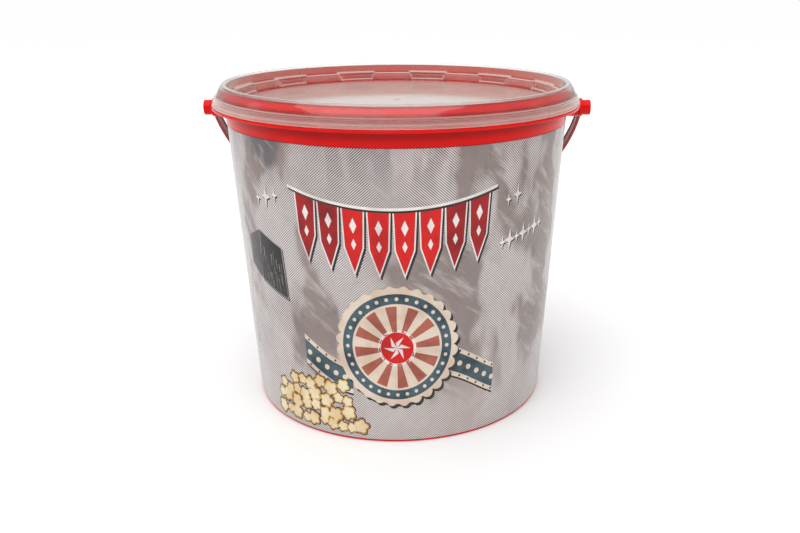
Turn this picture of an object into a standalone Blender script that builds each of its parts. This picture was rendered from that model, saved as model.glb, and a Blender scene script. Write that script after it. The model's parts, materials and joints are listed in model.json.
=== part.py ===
"""Pail of popcorn: a tapered plastic pail with a printed sleeve, a push-fit lid and a swinging bail.

Frame: metres, +Z up. The origin is the centre of the underside, the pail's axis is Z, and the
two trunnions that carry the bail lie on the X axis. The bail hangs down behind, towards +Y.
"""

import math
import random

import bmesh
import bpy
from mathutils import Vector

MM = 0.001
SEGMENTS = 48                    # sides of each turned piece
ROD_SEGMENTS = 20

# Sleeve, the printed label that makes the outer wall
LABEL_BOTTOM_Z = 1.5 * MM
LABEL_TOP_Z = 175.5 * MM
LABEL_BASE_RADIUS = 93.6 * MM    # the straight taper carried down to the floor
LABEL_TOP_RADIUS = 103.5 * MM
LABEL_THICKNESS = 0.4 * MM
FIT_GAP = 0.3 * MM               # between pieces that touch

# Pail
WALL = 1.4 * MM
FLOOR_UNDERSIDE_Z = 1.8 * MM
FLOOR_TOP_Z = 3.4 * MM
FOOT_RADIUS = 93.4 * MM
FOOT_EDGE = 1.2 * MM
FOOT_RING_INNER = 88.5 * MM
COLLAR_BOTTOM_RADIUS = 103.7 * MM
COLLAR_TOP_RADIUS = 104.3 * MM
FLANGE_RADIUS = 111.9 * MM
FLANGE_BOTTOM_Z = 184.6 * MM
FLANGE_TOP_Z = 186.2 * MM
FLANGE_EDGE = 0.35 * MM
MOUTH_RADIUS = 103.3 * MM
RIM_OUTER_RADIUS = 105.0 * MM
RIM_BEAD_RADIUS = 107.0 * MM
RIM_BEAD_Z = 193.2 * MM
RIM_TOP_Z = 196.8 * MM

# Trunnions
PIN_Z = 181.3 * MM
PIN_SHANK_RADIUS = 4.2 * MM
PIN_HEAD_RADIUS = 4.6 * MM
PIN_HEAD_START = 114.6 * MM
PIN_TIP = 119.4 * MM
PIN_EDGE = 0.5 * MM
BOSS_HALF_WIDTH = 5.4 * MM
BOSS_REACH = 111.95 * MM

# Lid
LID_TOP_Z = 198.3 * MM
LID_PANEL_Z = 186.0 * MM
LID_SKIN = 1.1 * MM
LID_LEDGE_Z = 191.5 * MM
SKIRT_BOTTOM_Z = 186.5 * MM
SKIRT_RADIUS = 111.6 * MM
LUG_COUNT = 12
LUG_OFFSET = math.radians(-4.2)  # turn of the lid, clockwise from +Y as seen from above
LUG_SPAN = math.radians(15.7)    # at the top; the ends slant in towards the foot
LUG_SLANT = math.radians(1.3)    # how far each end slants in
LUG_TOP_Z = 192.6 * MM
LUG_FACE_RADIUS = 97.6 * MM
LUG_FOOT_Z = 188.0 * MM
LUG_FOOT_RADIUS = 96.2 * MM

# Bail
BAIL_HALF_WIDTH = 113.3 * MM     # at the trunnions, to the middle of the strap
BAIL_REACH = 143.5 * MM          # trunnion axis to the middle of the loop
BAIL_ROUNDNESS = 2.0             # exponent of the loop's superellipse
BAIL_REST = math.radians(45.0)   # below the horizontal when the loop leans on the wall
BAIL_POINTS = 29
STRAP_WIDTH = 6.6 * MM
STRAP_WEB = 1.2 * MM
STRAP_RIB = 2.0 * MM
STRAP_RIB_WIDTH = 1.2 * MM
EYE_RADIUS = 5.6 * MM
EYE_HOLE_RADIUS = 4.5 * MM
EYE_INNER_FACE = 112.25 * MM
EYE_OUTER_FACE = 114.35 * MM
STRAP_START = 4.7 * MM           # where the strap runs into its eye

# Popcorn
HEAP_GAP = 0.4 * MM
HEAP_TOP_Z = 171.0 * MM
HEAP_RELIEF = 3.2 * MM
HEAP_SEGMENTS = 40
HEAP_RINGS = 8
HEAP_SEED = 7


def clear_scene():
    """Remove every object the file holds."""
    for item in list(bpy.data.objects):
        bpy.data.objects.remove(item, do_unlink=True)


def new_collection(name):
    """Return a new collection linked to the scene."""
    group = bpy.data.collections.new(name)
    bpy.context.scene.collection.children.link(group)
    return group


def make_material(name, colour, roughness, alpha=1.0):
    """Return a plastic-like material with the given colour."""
    material = bpy.data.materials.new(name)
    material.use_nodes = True
    shader = material.node_tree.nodes["Principled BSDF"]
    shader.inputs["Base Color"].default_value = (*colour, 1.0)
    shader.inputs["Roughness"].default_value = roughness
    shader.inputs["Metallic"].default_value = 0.0
    shader.inputs["Alpha"].default_value = alpha
    return material


def add_mesh_object(name, mesh, group, material=None):
    """Link a mesh as a named object."""
    item = bpy.data.objects.new(name, mesh)
    group.objects.link(item)
    if material:
        mesh.materials.append(material)
    return item


def hide_tool(item):
    """Mark an object as a boolean tool, which is no part of the model."""
    item.hide_render = True
    item.display_type = "WIRE"
    return item


def arc(centre, radius, start_deg, end_deg, steps):
    """Points of a circular arc in the (radius, height) plane, ends included."""
    points = []
    for step in range(steps + 1):
        angle = math.radians(start_deg + (end_deg - start_deg) * step / steps)
        points.append((centre[0] + radius * math.cos(angle), centre[1] + radius * math.sin(angle)))
    return points


def turned(name, profile, group, material=None, closed=False, segments=SEGMENTS):
    """Turn a profile of (radius, height) points about Z with a Screw modifier."""
    mesh = bpy.data.meshes.new(name)
    shape = bmesh.new()
    verts = [shape.verts.new((radius, 0.0, height)) for radius, height in profile]
    for first, second in zip(verts, verts[1:]):
        shape.edges.new((first, second))
    if closed:
        shape.edges.new((verts[-1], verts[0]))
    shape.to_mesh(mesh)
    shape.free()
    item = add_mesh_object(name, mesh, group, material)
    screw = item.modifiers.new("turn", "SCREW")
    screw.steps = segments
    screw.render_steps = segments
    screw.use_merge_vertices = True
    screw.merge_threshold = 0.01 * MM
    screw.use_smooth_shade = True
    return item


def add_boolean(item, tool, operation):
    """Join or cut with an exact Boolean."""
    modifier = item.modifiers.new(tool.name, "BOOLEAN")
    modifier.operation = operation
    modifier.object = tool
    modifier.solver = "EXACT"


def bake(item):
    """Replace an object by a mesh object of its evaluated shape, and return it."""
    graph = bpy.context.evaluated_depsgraph_get()
    mesh = bpy.data.meshes.new_from_object(item.evaluated_get(graph))
    name, group, matrix = item.name, item.users_collection[0], item.matrix_world.copy()
    bpy.data.objects.remove(item, do_unlink=True)
    mesh.name = name
    solid = add_mesh_object(name, mesh, group)
    solid.matrix_world = matrix
    shape = bmesh.new()
    shape.from_mesh(mesh)
    bmesh.ops.remove_doubles(shape, verts=shape.verts, dist=0.01 * MM)
    bmesh.ops.recalc_face_normals(shape, faces=shape.faces)
    shape.to_mesh(mesh)
    shape.free()
    return solid


def rod_along_x(name, start, end, radius, group, height=0.0, edge=0.0):
    """A round bar along X at y = 0, between two x positions, its ends bevelled by edge."""
    mesh = bpy.data.meshes.new(name)
    shape = bmesh.new()
    bmesh.ops.create_cone(shape, cap_ends=True, segments=ROD_SEGMENTS, radius1=radius, radius2=radius,
                          depth=abs(end - start))
    mesh_to_x = Vector((0, 0, 1)).rotation_difference(Vector((1, 0, 0))).to_matrix()
    bmesh.ops.rotate(shape, verts=shape.verts, cent=(0, 0, 0), matrix=mesh_to_x)
    bmesh.ops.translate(shape, verts=shape.verts, vec=((start + end) / 2, 0, height))
    shape.to_mesh(mesh)
    shape.free()
    item = add_mesh_object(name, mesh, group)
    if edge:
        bevel = item.modifiers.new("edge", "BEVEL")
        bevel.width = edge
        bevel.segments = 1
        bevel.limit_method = "ANGLE"
    return hide_tool(item)


def label_radius(height):
    """Outer radius of the printed sleeve at a height."""
    slope = (LABEL_TOP_RADIUS - LABEL_BASE_RADIUS) / LABEL_TOP_Z
    return LABEL_BASE_RADIUS + slope * height


def wall_radius(height):
    """Outer radius of the pail's wall, behind the sleeve."""
    return label_radius(height) - LABEL_THICKNESS - FIT_GAP


def make_boss(name, side, group):
    """The lug under the flange that carries one trunnion: round below, square to the flange."""
    top = (FLANGE_BOTTOM_Z + FLANGE_TOP_Z) / 2
    half_round = arc((0.0, PIN_Z), BOSS_HALF_WIDTH, 180, 360, 8)
    outline = [(-BOSS_HALF_WIDTH, top)] + half_round + [(BOSS_HALF_WIDTH, top)]
    inner = COLLAR_BOTTOM_RADIUS - WALL / 2
    shape = bmesh.new()
    ring = [shape.verts.new((side * inner, y, z)) for y, z in outline]
    face = shape.faces.new(ring)
    grown = bmesh.ops.extrude_face_region(shape, geom=[face])
    moved = [part for part in grown["geom"] if isinstance(part, bmesh.types.BMVert)]
    bmesh.ops.translate(shape, verts=moved, vec=(side * (BOSS_REACH - inner), 0, 0))
    bmesh.ops.recalc_face_normals(shape, faces=shape.faces)
    mesh = bpy.data.meshes.new(name)
    shape.to_mesh(mesh)
    shape.free()
    return hide_tool(add_mesh_object(name, mesh, group))


def make_bucket(group, tools, material):
    """The pail: floor, tapered wall, collar, flange, beaded rim and two trunnions."""
    inner_floor = wall_radius(FLOOR_TOP_Z) - WALL
    corner = 1.8 * MM
    step_low, step_high = 176.5 * MM, 181.0 * MM
    profile = [
        (0.0, FLOOR_TOP_Z),
        (inner_floor - corner, FLOOR_TOP_Z),
        (wall_radius(FLOOR_TOP_Z + corner) - WALL, FLOOR_TOP_Z + corner),
        (wall_radius(step_low) - WALL, step_low),
        (MOUTH_RADIUS - FIT_GAP, step_high),
        (MOUTH_RADIUS, FLANGE_TOP_Z),
        (MOUTH_RADIUS, RIM_TOP_Z - FIT_GAP),
        (MOUTH_RADIUS + FIT_GAP, RIM_TOP_Z),
        (MOUTH_RADIUS + 3 * FIT_GAP, RIM_TOP_Z),
        (RIM_BEAD_RADIUS, RIM_BEAD_Z + FIT_GAP),
        (RIM_BEAD_RADIUS, RIM_BEAD_Z - FIT_GAP),
        (RIM_OUTER_RADIUS, RIM_BEAD_Z - WALL),
        (RIM_OUTER_RADIUS, FLANGE_TOP_Z),
        (FLANGE_RADIUS - FLANGE_EDGE, FLANGE_TOP_Z),
        (FLANGE_RADIUS, FLANGE_TOP_Z - FLANGE_EDGE),
        (FLANGE_RADIUS, FLANGE_BOTTOM_Z + FLANGE_EDGE),
        (FLANGE_RADIUS - FLANGE_EDGE, FLANGE_BOTTOM_Z),
        (COLLAR_TOP_RADIUS, FLANGE_BOTTOM_Z),
        (COLLAR_BOTTOM_RADIUS, LABEL_TOP_Z + FIT_GAP),
        (wall_radius(LABEL_TOP_Z), LABEL_TOP_Z + FIT_GAP),
        (wall_radius(FOOT_EDGE), FOOT_EDGE),
        (FOOT_RADIUS, FOOT_EDGE),
    ]
    profile += arc((FOOT_RADIUS - FOOT_EDGE, FOOT_EDGE), FOOT_EDGE, -30, -90, 2)
    profile += [(FOOT_RING_INNER, 0.0), (FOOT_RING_INNER, FLOOR_UNDERSIDE_Z), (0.0, FLOOR_UNDERSIDE_Z)]
    bucket = turned("bucket", profile, group, material)
    for side, word in ((1, "right"), (-1, "left")):
        root = COLLAR_TOP_RADIUS - WALL / 2
        parts = (
            make_boss(f"boss_{word}", side, tools),
            rod_along_x(f"shank_{word}", side * root, side * (PIN_TIP - PIN_EDGE * 2),
                        PIN_SHANK_RADIUS, tools, height=PIN_Z),
            rod_along_x(f"head_{word}", side * PIN_HEAD_START, side * PIN_TIP,
                        PIN_HEAD_RADIUS, tools, height=PIN_Z, edge=PIN_EDGE),
        )
        for tool in parts:
            add_boolean(bucket, tool, "UNION")
    return bucket


def make_label(group, material):
    """The printed sleeve round the wall, its lower edge turned in with the pail's foot."""
    low_edge = label_radius(LABEL_BOTTOM_Z) - 0.2 * MM
    bend_z = 2 * LABEL_BOTTOM_Z
    profile = [
        (LABEL_TOP_RADIUS, LABEL_TOP_Z),
        (label_radius(bend_z), bend_z),
        (low_edge, LABEL_BOTTOM_Z),
        (low_edge - LABEL_THICKNESS, LABEL_BOTTOM_Z),
        (label_radius(bend_z) - LABEL_THICKNESS, bend_z),
        (LABEL_TOP_RADIUS - LABEL_THICKNESS, LABEL_TOP_Z),
    ]
    return turned("label", profile, group, material, closed=True)


def make_lugs(tools):
    """The stacking lugs inside the lid, each a stepped block swept about the axis."""
    buried = LID_PANEL_Z - LID_SKIN / 2
    backing = 100.7 * MM
    outline = [
        (backing, buried),
        (LUG_FOOT_RADIUS, buried),
        (LUG_FOOT_RADIUS, LUG_FOOT_Z),
        (LUG_FACE_RADIUS, LUG_FOOT_Z),
        (LUG_FACE_RADIUS, LUG_TOP_Z),
        (backing, LUG_TOP_Z),
    ]
    shape = bmesh.new()
    for index in range(LUG_COUNT):
        middle = math.pi / 2 - (LUG_OFFSET + math.tau * (index + 0.5) / LUG_COUNT)
        rings = []
        for share in (-1.0, -1 / 3, 1 / 3, 1.0):
            ring = []
            for r, z in outline:
                half = LUG_SPAN / 2 - (0.0 if z == LUG_TOP_Z else LUG_SLANT)
                angle = middle + half * share
                ring.append(shape.verts.new((r * math.cos(angle), r * math.sin(angle), z)))
            rings.append(ring)
        for here, after in zip(rings, rings[1:]):
            for row in range(len(outline)):
                below = row - 1
                shape.faces.new((here[row], here[below], after[below], after[row]))
        shape.faces.new(rings[0])
        shape.faces.new(rings[-1])
    bmesh.ops.triangulate(shape, faces=shape.faces[:])
    bmesh.ops.recalc_face_normals(shape, faces=shape.faces)
    mesh = bpy.data.meshes.new("lugs")
    shape.to_mesh(mesh)
    shape.free()
    return hide_tool(add_mesh_object("lugs", mesh, tools))


def make_lid(group, tools, material):
    """The lid: sunken panel, plug wall with a ledge and lugs, rounded crown and clip skirt."""
    plug = 100.0 * MM            # inner face of the plug wall below the ledge
    upper = 101.8 * MM           # and above it
    crown_in, crown_out = 103.0 * MM, 104.7 * MM
    groove_z = 191.1 * MM
    outer = [
        (crown_in, LID_TOP_Z),
        (crown_out, LID_TOP_Z),
        (105.8 * MM, 197.7 * MM),
        (107.5 * MM, 195.2 * MM),
        (109.3 * MM, 191.7 * MM),
        (109.2 * MM, groove_z),
        (110.2 * MM, groove_z - 0.4 * MM),
        (110.7 * MM, 188.9 * MM),
        (111.0 * MM, 188.6 * MM),
        (111.0 * MM, 188.2 * MM),
        (SKIRT_RADIUS, 187.1 * MM),
        (SKIRT_RADIUS - 0.1 * MM, SKIRT_BOTTOM_Z),
    ]
    inner = [
        (SKIRT_RADIUS - LID_SKIN, SKIRT_BOTTOM_Z),
        (109.5 * MM, 189.8 * MM),
        (106.8 * MM, groove_z - 0.2 * MM),
        (108.1 * MM, 191.9 * MM),
        (106.3 * MM, 195.2 * MM),
        (crown_out - 0.1 * MM, LID_TOP_Z - LID_SKIN),
        (crown_in + 0.2 * MM, LID_TOP_Z - LID_SKIN),
        (upper + LID_SKIN, 196.7 * MM),
        (upper + LID_SKIN - 0.3 * MM, LID_LEDGE_Z - LID_SKIN),
        (plug + LID_SKIN, LID_LEDGE_Z - 1.6 * MM),
        (plug + LID_SKIN - 0.3 * MM, LID_PANEL_Z - 0.2 * MM),
        (99.3 * MM, LID_PANEL_Z - LID_SKIN),
        (0.0, LID_PANEL_Z - LID_SKIN),
    ]
    bowl = [
        (0.0, LID_PANEL_Z),
        (98.9 * MM, LID_PANEL_Z),
        (plug - 0.2 * MM, LID_PANEL_Z + 0.9 * MM),
        (plug + 0.2 * MM, LID_LEDGE_Z - 0.3 * MM),
        (upper - 0.4 * MM, LID_LEDGE_Z),
        (upper, 197.3 * MM),
        (102.3 * MM, 198.0 * MM),
    ]
    lid = turned("lid", bowl + outer + inner, group, material)
    add_boolean(lid, make_lugs(tools), "UNION")
    return lid


def bail_point(turn):
    """Point of the loop's centre line at a turn from 0 (right eye) to pi (left eye)."""
    power = 2.0 / BAIL_ROUNDNESS
    across = math.copysign(abs(math.cos(turn)) ** power, math.cos(turn))
    return (BAIL_HALF_WIDTH * across, BAIL_REACH * math.sin(turn) ** power, 0.0)


def poly_curve(name, points, group, closed):
    """A curve object of straight runs through the points."""
    curve = bpy.data.curves.new(name, "CURVE")
    curve.dimensions = "3D"
    spline = curve.splines.new("POLY")
    spline.points.add(len(points) - 1)
    for target, point in zip(spline.points, points):
        target.co = (*point, 1.0)
    spline.use_cyclic_u = closed
    item = bpy.data.objects.new(name, curve)
    group.objects.link(item)
    return item


def make_handle(group, tools, material):
    """The bail: a ribbed strap bent to a loop, with an eye on each trunnion."""
    pivot = bpy.data.objects.new("bail_pivot", None)
    pivot.location = (0, 0, PIN_Z)
    pivot.rotation_euler = (-BAIL_REST, 0, 0)
    group.objects.link(pivot)

    first = math.asin((STRAP_START / BAIL_REACH) ** (BAIL_ROUNDNESS / 2))
    turns = [first + (math.pi - 2 * first) * step / (BAIL_POINTS - 1) for step in range(BAIL_POINTS)]
    path = poly_curve("handle", [bail_point(turn) for turn in turns], group, closed=False)
    rib, web = STRAP_RIB / 2, STRAP_WEB / 2
    edge, shoulder = STRAP_WIDTH / 2, STRAP_WIDTH / 2 - STRAP_RIB_WIDTH
    quarter = [(rib, edge), (rib, shoulder), (web, shoulder)]
    right = quarter + [(x, -y) for x, y in reversed(quarter)]
    section = poly_curve("strap_section", [(x, y, 0.0) for x, y in right]
                         + [(-x, y, 0.0) for x, y in reversed(right)], tools, closed=True)
    path.data.bevel_mode = "OBJECT"
    path.data.bevel_object = section
    path.data.use_fill_caps = True
    handle = bake(path)
    bpy.data.objects.remove(section, do_unlink=True)
    handle.data.materials.append(material)

    for side, word in ((1, "right"), (-1, "left")):
        start, end = side * EYE_INNER_FACE, side * EYE_OUTER_FACE
        past = side * 2 * MM
        eye = rod_along_x(f"eye_{word}", start, end, EYE_RADIUS, tools)
        hole = rod_along_x(f"eye_hole_{word}", start - past, end + past, EYE_HOLE_RADIUS, tools)
        for tool, operation in ((eye, "UNION"), (hole, "DIFFERENCE")):
            tool.parent = pivot
            add_boolean(handle, tool, operation)
    handle.parent = pivot
    return handle


def make_popcorn(group, tools, material):
    """The heap in the pail, out to its uneven top."""
    bottom = FLOOR_TOP_Z + HEAP_GAP
    corner = 2.2 * MM
    top_edge = HEAP_TOP_Z - 1.5 * HEAP_RELIEF
    edge_radius = wall_radius(top_edge) - WALL - HEAP_GAP
    profile = [(edge_radius * ring / HEAP_RINGS, HEAP_TOP_Z) for ring in range(HEAP_RINGS)]
    profile += [
        (edge_radius, top_edge),
        (wall_radius(bottom + corner) - WALL - HEAP_GAP, bottom + corner),
        (wall_radius(bottom) - WALL - HEAP_GAP - corner, bottom),
        (0.0, bottom),
    ]
    heap = bake(turned("popcorn", profile, group, segments=HEAP_SEGMENTS))
    heap.data.materials.append(material)
    chance = random.Random(HEAP_SEED)
    waves = []
    for _ in range(7):
        heading = chance.uniform(0, math.tau)
        wavelength = chance.uniform(22, 46) * MM
        waves.append((math.cos(heading) * math.tau / wavelength,
                      math.sin(heading) * math.tau / wavelength, chance.uniform(0, math.tau)))
    for vert in heap.data.vertices:
        if vert.co.z > HEAP_TOP_Z - 0.1 * MM:
            ripple = sum(math.cos(a * vert.co.x + b * vert.co.y + c) for a, b, c in waves)
            vert.co.z += HEAP_RELIEF * ripple / 4
    return heap


def build():
    """Build the pail of popcorn."""
    clear_scene()
    group = new_collection("popcorn_pail")
    tools = new_collection("cutters")
    red = make_material("red_plastic", (0.75, 0.02, 0.01), 0.28)
    print_film = make_material("printed_film", (0.42, 0.38, 0.38), 0.32)
    frosted = make_material("frosted_plastic", (0.86, 0.84, 0.82), 0.25, alpha=0.45)
    strap = make_material("strap_plastic", (0.26, 0.05, 0.05), 0.35)
    corn = make_material("popcorn", (0.95, 0.80, 0.50), 0.75)
    make_bucket(group, tools, red)
    make_label(group, print_film)
    make_lid(group, tools, frosted)
    make_handle(group, tools, strap)
    make_popcorn(group, tools, corn)


build()
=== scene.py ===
"""Looks of a pail of popcorn: a red pail in a printed sleeve, a frosted lid and a strap bail.

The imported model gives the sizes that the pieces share. Lengths in the classes are millimetres and
are turned into metres by MM as meshes are made. Angles round the pail are counted from +X towards
+Y, and places on the sleeve are (along, up): the arc from the middle of the front, and the height.
"""

import json
import logging
import math
import random
from dataclasses import dataclass, field
from enum import Enum
from typing import Callable, Iterable, Sequence

import bmesh
import bpy
import numpy as np
from mathutils import Matrix, Vector


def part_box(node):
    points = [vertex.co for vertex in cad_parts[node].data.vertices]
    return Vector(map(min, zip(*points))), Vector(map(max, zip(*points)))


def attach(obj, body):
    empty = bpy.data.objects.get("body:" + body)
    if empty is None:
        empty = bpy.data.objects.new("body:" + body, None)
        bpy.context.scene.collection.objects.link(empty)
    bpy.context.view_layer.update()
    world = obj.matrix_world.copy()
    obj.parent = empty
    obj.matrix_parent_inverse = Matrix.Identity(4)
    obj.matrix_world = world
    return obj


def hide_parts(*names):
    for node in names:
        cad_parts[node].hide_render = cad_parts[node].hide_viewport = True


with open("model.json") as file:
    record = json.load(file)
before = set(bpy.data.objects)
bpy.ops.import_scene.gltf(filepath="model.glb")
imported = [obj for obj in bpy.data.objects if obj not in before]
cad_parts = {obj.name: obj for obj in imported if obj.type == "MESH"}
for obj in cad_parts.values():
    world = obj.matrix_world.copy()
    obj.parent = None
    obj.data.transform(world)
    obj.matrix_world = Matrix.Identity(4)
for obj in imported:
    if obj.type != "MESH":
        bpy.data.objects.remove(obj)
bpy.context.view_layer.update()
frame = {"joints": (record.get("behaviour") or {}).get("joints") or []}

MM = 0.001
LOG = logging.getLogger("popcorn_pail")

Point = tuple[float, float]
Colour = tuple[float, float, float, float]
Socket = bpy.types.NodeSocket


def cad_top(node: str) -> float:
    """Return the height of a CAD node's top, in millimetres."""
    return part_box(node)[1].z / MM


def cad_radius(node: str) -> float:
    """Return half of a CAD node's depth, its radius where it is round, in millimetres."""
    low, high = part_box(node)
    return (high.y - low.y) / 2 / MM


def srgb(red: int, green: int, blue: int) -> Colour:
    """Turn a colour of 0 to 255 a channel into the linear colour that shaders take.

    Args:
        red: The red channel.
        green: The green channel.
        blue: The blue channel.

    Returns:
        The linear colour with an alpha of 1.
    """
    def linear(value: int) -> float:
        """Return one channel's linear value."""
        share = value / 255
        return share / 12.92 if share <= 0.04045 else ((share + 0.055) / 1.055) ** 2.4
    return (linear(red), linear(green), linear(blue), 1.0)


# ---------------------------------------------------------------------------------------------
# Shader building


class Recipe:
    """A material's node tree, with short ways to add nodes and join them."""

    def __init__(self, name: str) -> None:
        """Start an empty material.

        Args:
            name: The material's name.
        """
        self.material = bpy.data.materials.new(name)
        self.material.use_nodes = True
        self.tree = self.material.node_tree
        self.tree.nodes.clear()
        self.place = self.node("ShaderNodeTexCoord").outputs["Object"]

    def node(self, kind: str, settings: dict | None = None, **inputs: object) -> bpy.types.Node:
        """Add a node.

        Args:
            kind: The node's type name.
            settings: Attributes of the node itself.
            inputs: Values or sockets for its inputs, their names in lower case with _ for a space.

        Returns:
            The node.
        """
        made = self.tree.nodes.new(kind)
        for key, value in (settings or {}).items():
            setattr(made, key, value)
        for socket in made.inputs:
            key = socket.name.lower().replace(" ", "_")
            if key in inputs:
                self.feed(socket, inputs.pop(key))
        if inputs:
            raise KeyError(f"{kind} has no inputs {sorted(inputs)}")
        return made

    def feed(self, socket: Socket, value: object) -> None:
        """Set an input to a value, or link a socket to it.

        Args:
            socket: The input.
            value: The value, or the socket to link.
        """
        if isinstance(value, bpy.types.NodeSocket):
            self.tree.links.new(value, socket)
        else:
            socket.default_value = value

    def maths(self, operation: str, *values: object, clamp: bool = False) -> Socket:
        """Add a Math node.

        Args:
            operation: The node's operation.
            values: Its operands, numbers or sockets.
            clamp: Whether the result is kept from 0 to 1.

        Returns:
            The result's socket.
        """
        made = self.node("ShaderNodeMath", {"operation": operation, "use_clamp": clamp})
        for socket, value in zip(made.inputs, values):
            self.feed(socket, value)
        return made.outputs[0]

    def noise(self, size: float, detail: float = 3.0, rough: float = 0.55,
              stretch: Sequence[float] = (1, 1, 1), turn: Sequence[float] = (0, 0, 0),
              at: Socket | None = None) -> Socket:
        """Add noise.

        Args:
            size: The size of its features, in millimetres.
            detail: Its octaves.
            rough: How strong the finer octaves are.
            stretch: How many times finer it is along each axis.
            turn: The turn of its axes, in degrees.
            at: The place that it is read at, the piece's own space if there is none.

        Returns:
            The noise value, about 0.5 in the middle.
        """
        mapping = self.node("ShaderNodeMapping", vector=at or self.place)
        mapping.inputs["Scale"].default_value = stretch
        mapping.inputs["Rotation"].default_value = [math.radians(angle) for angle in turn]
        made = self.node("ShaderNodeTexNoise", vector=mapping.outputs[0], scale=1 / (size * MM),
                         detail=detail, roughness=rough)
        return made.outputs["Fac"]

    def round_axis(self) -> tuple[Socket, Socket]:
        """Return how far a place stands from the upright axis, and its height, in metres.

        Returns:
            The radius and the height.
        """
        apart = self.node("ShaderNodeSeparateXYZ", vector=self.place).outputs
        squares = [self.maths("POWER", apart[name], 2.0) for name in ("X", "Y")]
        return self.maths("SQRT", self.maths("ADD", *squares)), apart["Z"]

    def window(self, value: Socket, low: float, high: float) -> Socket:
        """Return a smooth rise from 0 at low to 1 at high, which may be the smaller.

        Args:
            value: The value.
            low: Where it is 0.
            high: Where it is 1.

        Returns:
            The result's socket.
        """
        made = self.node("ShaderNodeMapRange", {"interpolation_type": "SMOOTHSTEP"}, value=value)
        made.inputs["From Min"].default_value = low
        made.inputs["From Max"].default_value = high
        return made.outputs["Result"]

    def spread(self, value: Socket, low: float, high: float) -> Socket:
        """Return a value of 0 to 1 mapped to low to high.

        Args:
            value: The value.
            low: What 0 becomes.
            high: What 1 becomes.

        Returns:
            The result's socket.
        """
        made = self.node("ShaderNodeMapRange", value=value)
        made.inputs["To Min"].default_value = low
        made.inputs["To Max"].default_value = high
        return made.outputs["Result"]

    def blend(self, share: object, first: object, second: object) -> Socket:
        """Mix two colours.

        Args:
            share: How much of the second, a number or a socket.
            first: The first colour or socket.
            second: The second colour or socket.

        Returns:
            The mixed colour's socket.
        """
        made = self.node("ShaderNodeMix", {"data_type": "RGBA"})
        self.feed(made.inputs[0], share)
        self.feed(made.inputs[6], first)
        self.feed(made.inputs[7], second)
        return made.outputs[2]

    def bump(self, *layers: tuple[Socket, float]) -> Socket:
        """Stack bump layers.

        Args:
            layers: Height sockets with the depth of each, in millimetres.

        Returns:
            The normal's socket.
        """
        normal = None
        for height, depth in layers:
            made = self.node("ShaderNodeBump", height=height, distance=depth * MM, strength=1.0)
            if normal:
                self.feed(made.inputs["Normal"], normal)
            normal = made.outputs["Normal"]
        return normal

    def finish(self, shader: Socket) -> bpy.types.Material:
        """Join the shader to the material's output and return the material.

        Args:
            shader: The shader's output.

        Returns:
            The material.
        """
        output = self.node("ShaderNodeOutputMaterial")
        self.feed(output.inputs["Surface"], shader)
        return self.material


# ---------------------------------------------------------------------------------------------
# Finishes


@dataclass(frozen=True)
class GlossPlastic:
    """Moulded polypropylene: an even colour, faint flow marks, fine scratches and soft gloss, with
    painted shade on the collar under the flange where a shade tone is given.
    """

    name: str
    colour: Colour
    shade: Colour
    gloss: float = 0.22
    specular: float = 0.16
    flow_size: float = 26.0
    scratch_depth: float = 0.008
    flow_depth: float = 0.05
    # Tone, radii and heights of painted shade: the collar darkens just under the flange, standing
    # for the flange's shadow.
    painted_shade_tone: Colour | None = None
    painted_shade_radii: Point = (103.3, 105.0)
    painted_shade_heights: Point = (177.4, 182.4)

    def make(self) -> bpy.types.Material:
        """Return the material.

        Returns:
            The material.
        """
        recipe = Recipe(self.name)
        flow = recipe.noise(self.flow_size, 4, stretch=(1, 1, 2.2))
        mottle = recipe.noise(1.4, 2)
        scratches = recipe.noise(1.1, 2, stretch=(0.12, 1.0, 2.4), turn=(14, 31, 48))
        colour = recipe.blend(recipe.window(flow, 0.35, 0.75), self.colour, self.shade)
        colour = recipe.blend(recipe.spread(mottle, 0.0, 0.10), colour, self.shade)
        # Painted shade: a band of the collar darkens towards the flange above it, standing for the
        # flange's shadow.
        if self.painted_shade_tone:
            radius, height = recipe.round_axis()
            inner, outer = self.painted_shade_radii
            low, high = self.painted_shade_heights
            share = recipe.maths("MULTIPLY", recipe.maths("GREATER_THAN", radius, inner * MM),
                                 recipe.maths("LESS_THAN", radius, outer * MM))
            share = recipe.maths("MULTIPLY", share, recipe.window(height, low * MM, high * MM))
            colour = recipe.blend(share, colour, self.painted_shade_tone)
        wear = recipe.window(scratches, 0.60, 0.74)
        gloss = recipe.maths("ADD", recipe.spread(flow, self.gloss - 0.05, self.gloss + 0.06),
                             recipe.maths("MULTIPLY", wear, 0.12))
        normal = recipe.bump((flow, self.flow_depth), (scratches, self.scratch_depth))
        shader = recipe.node("ShaderNodeBsdfPrincipled", base_color=colour, roughness=gloss,
                             normal=normal, ior=1.49, specular_ior_level=self.specular)
        return recipe.finish(shader.outputs[0])


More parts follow.
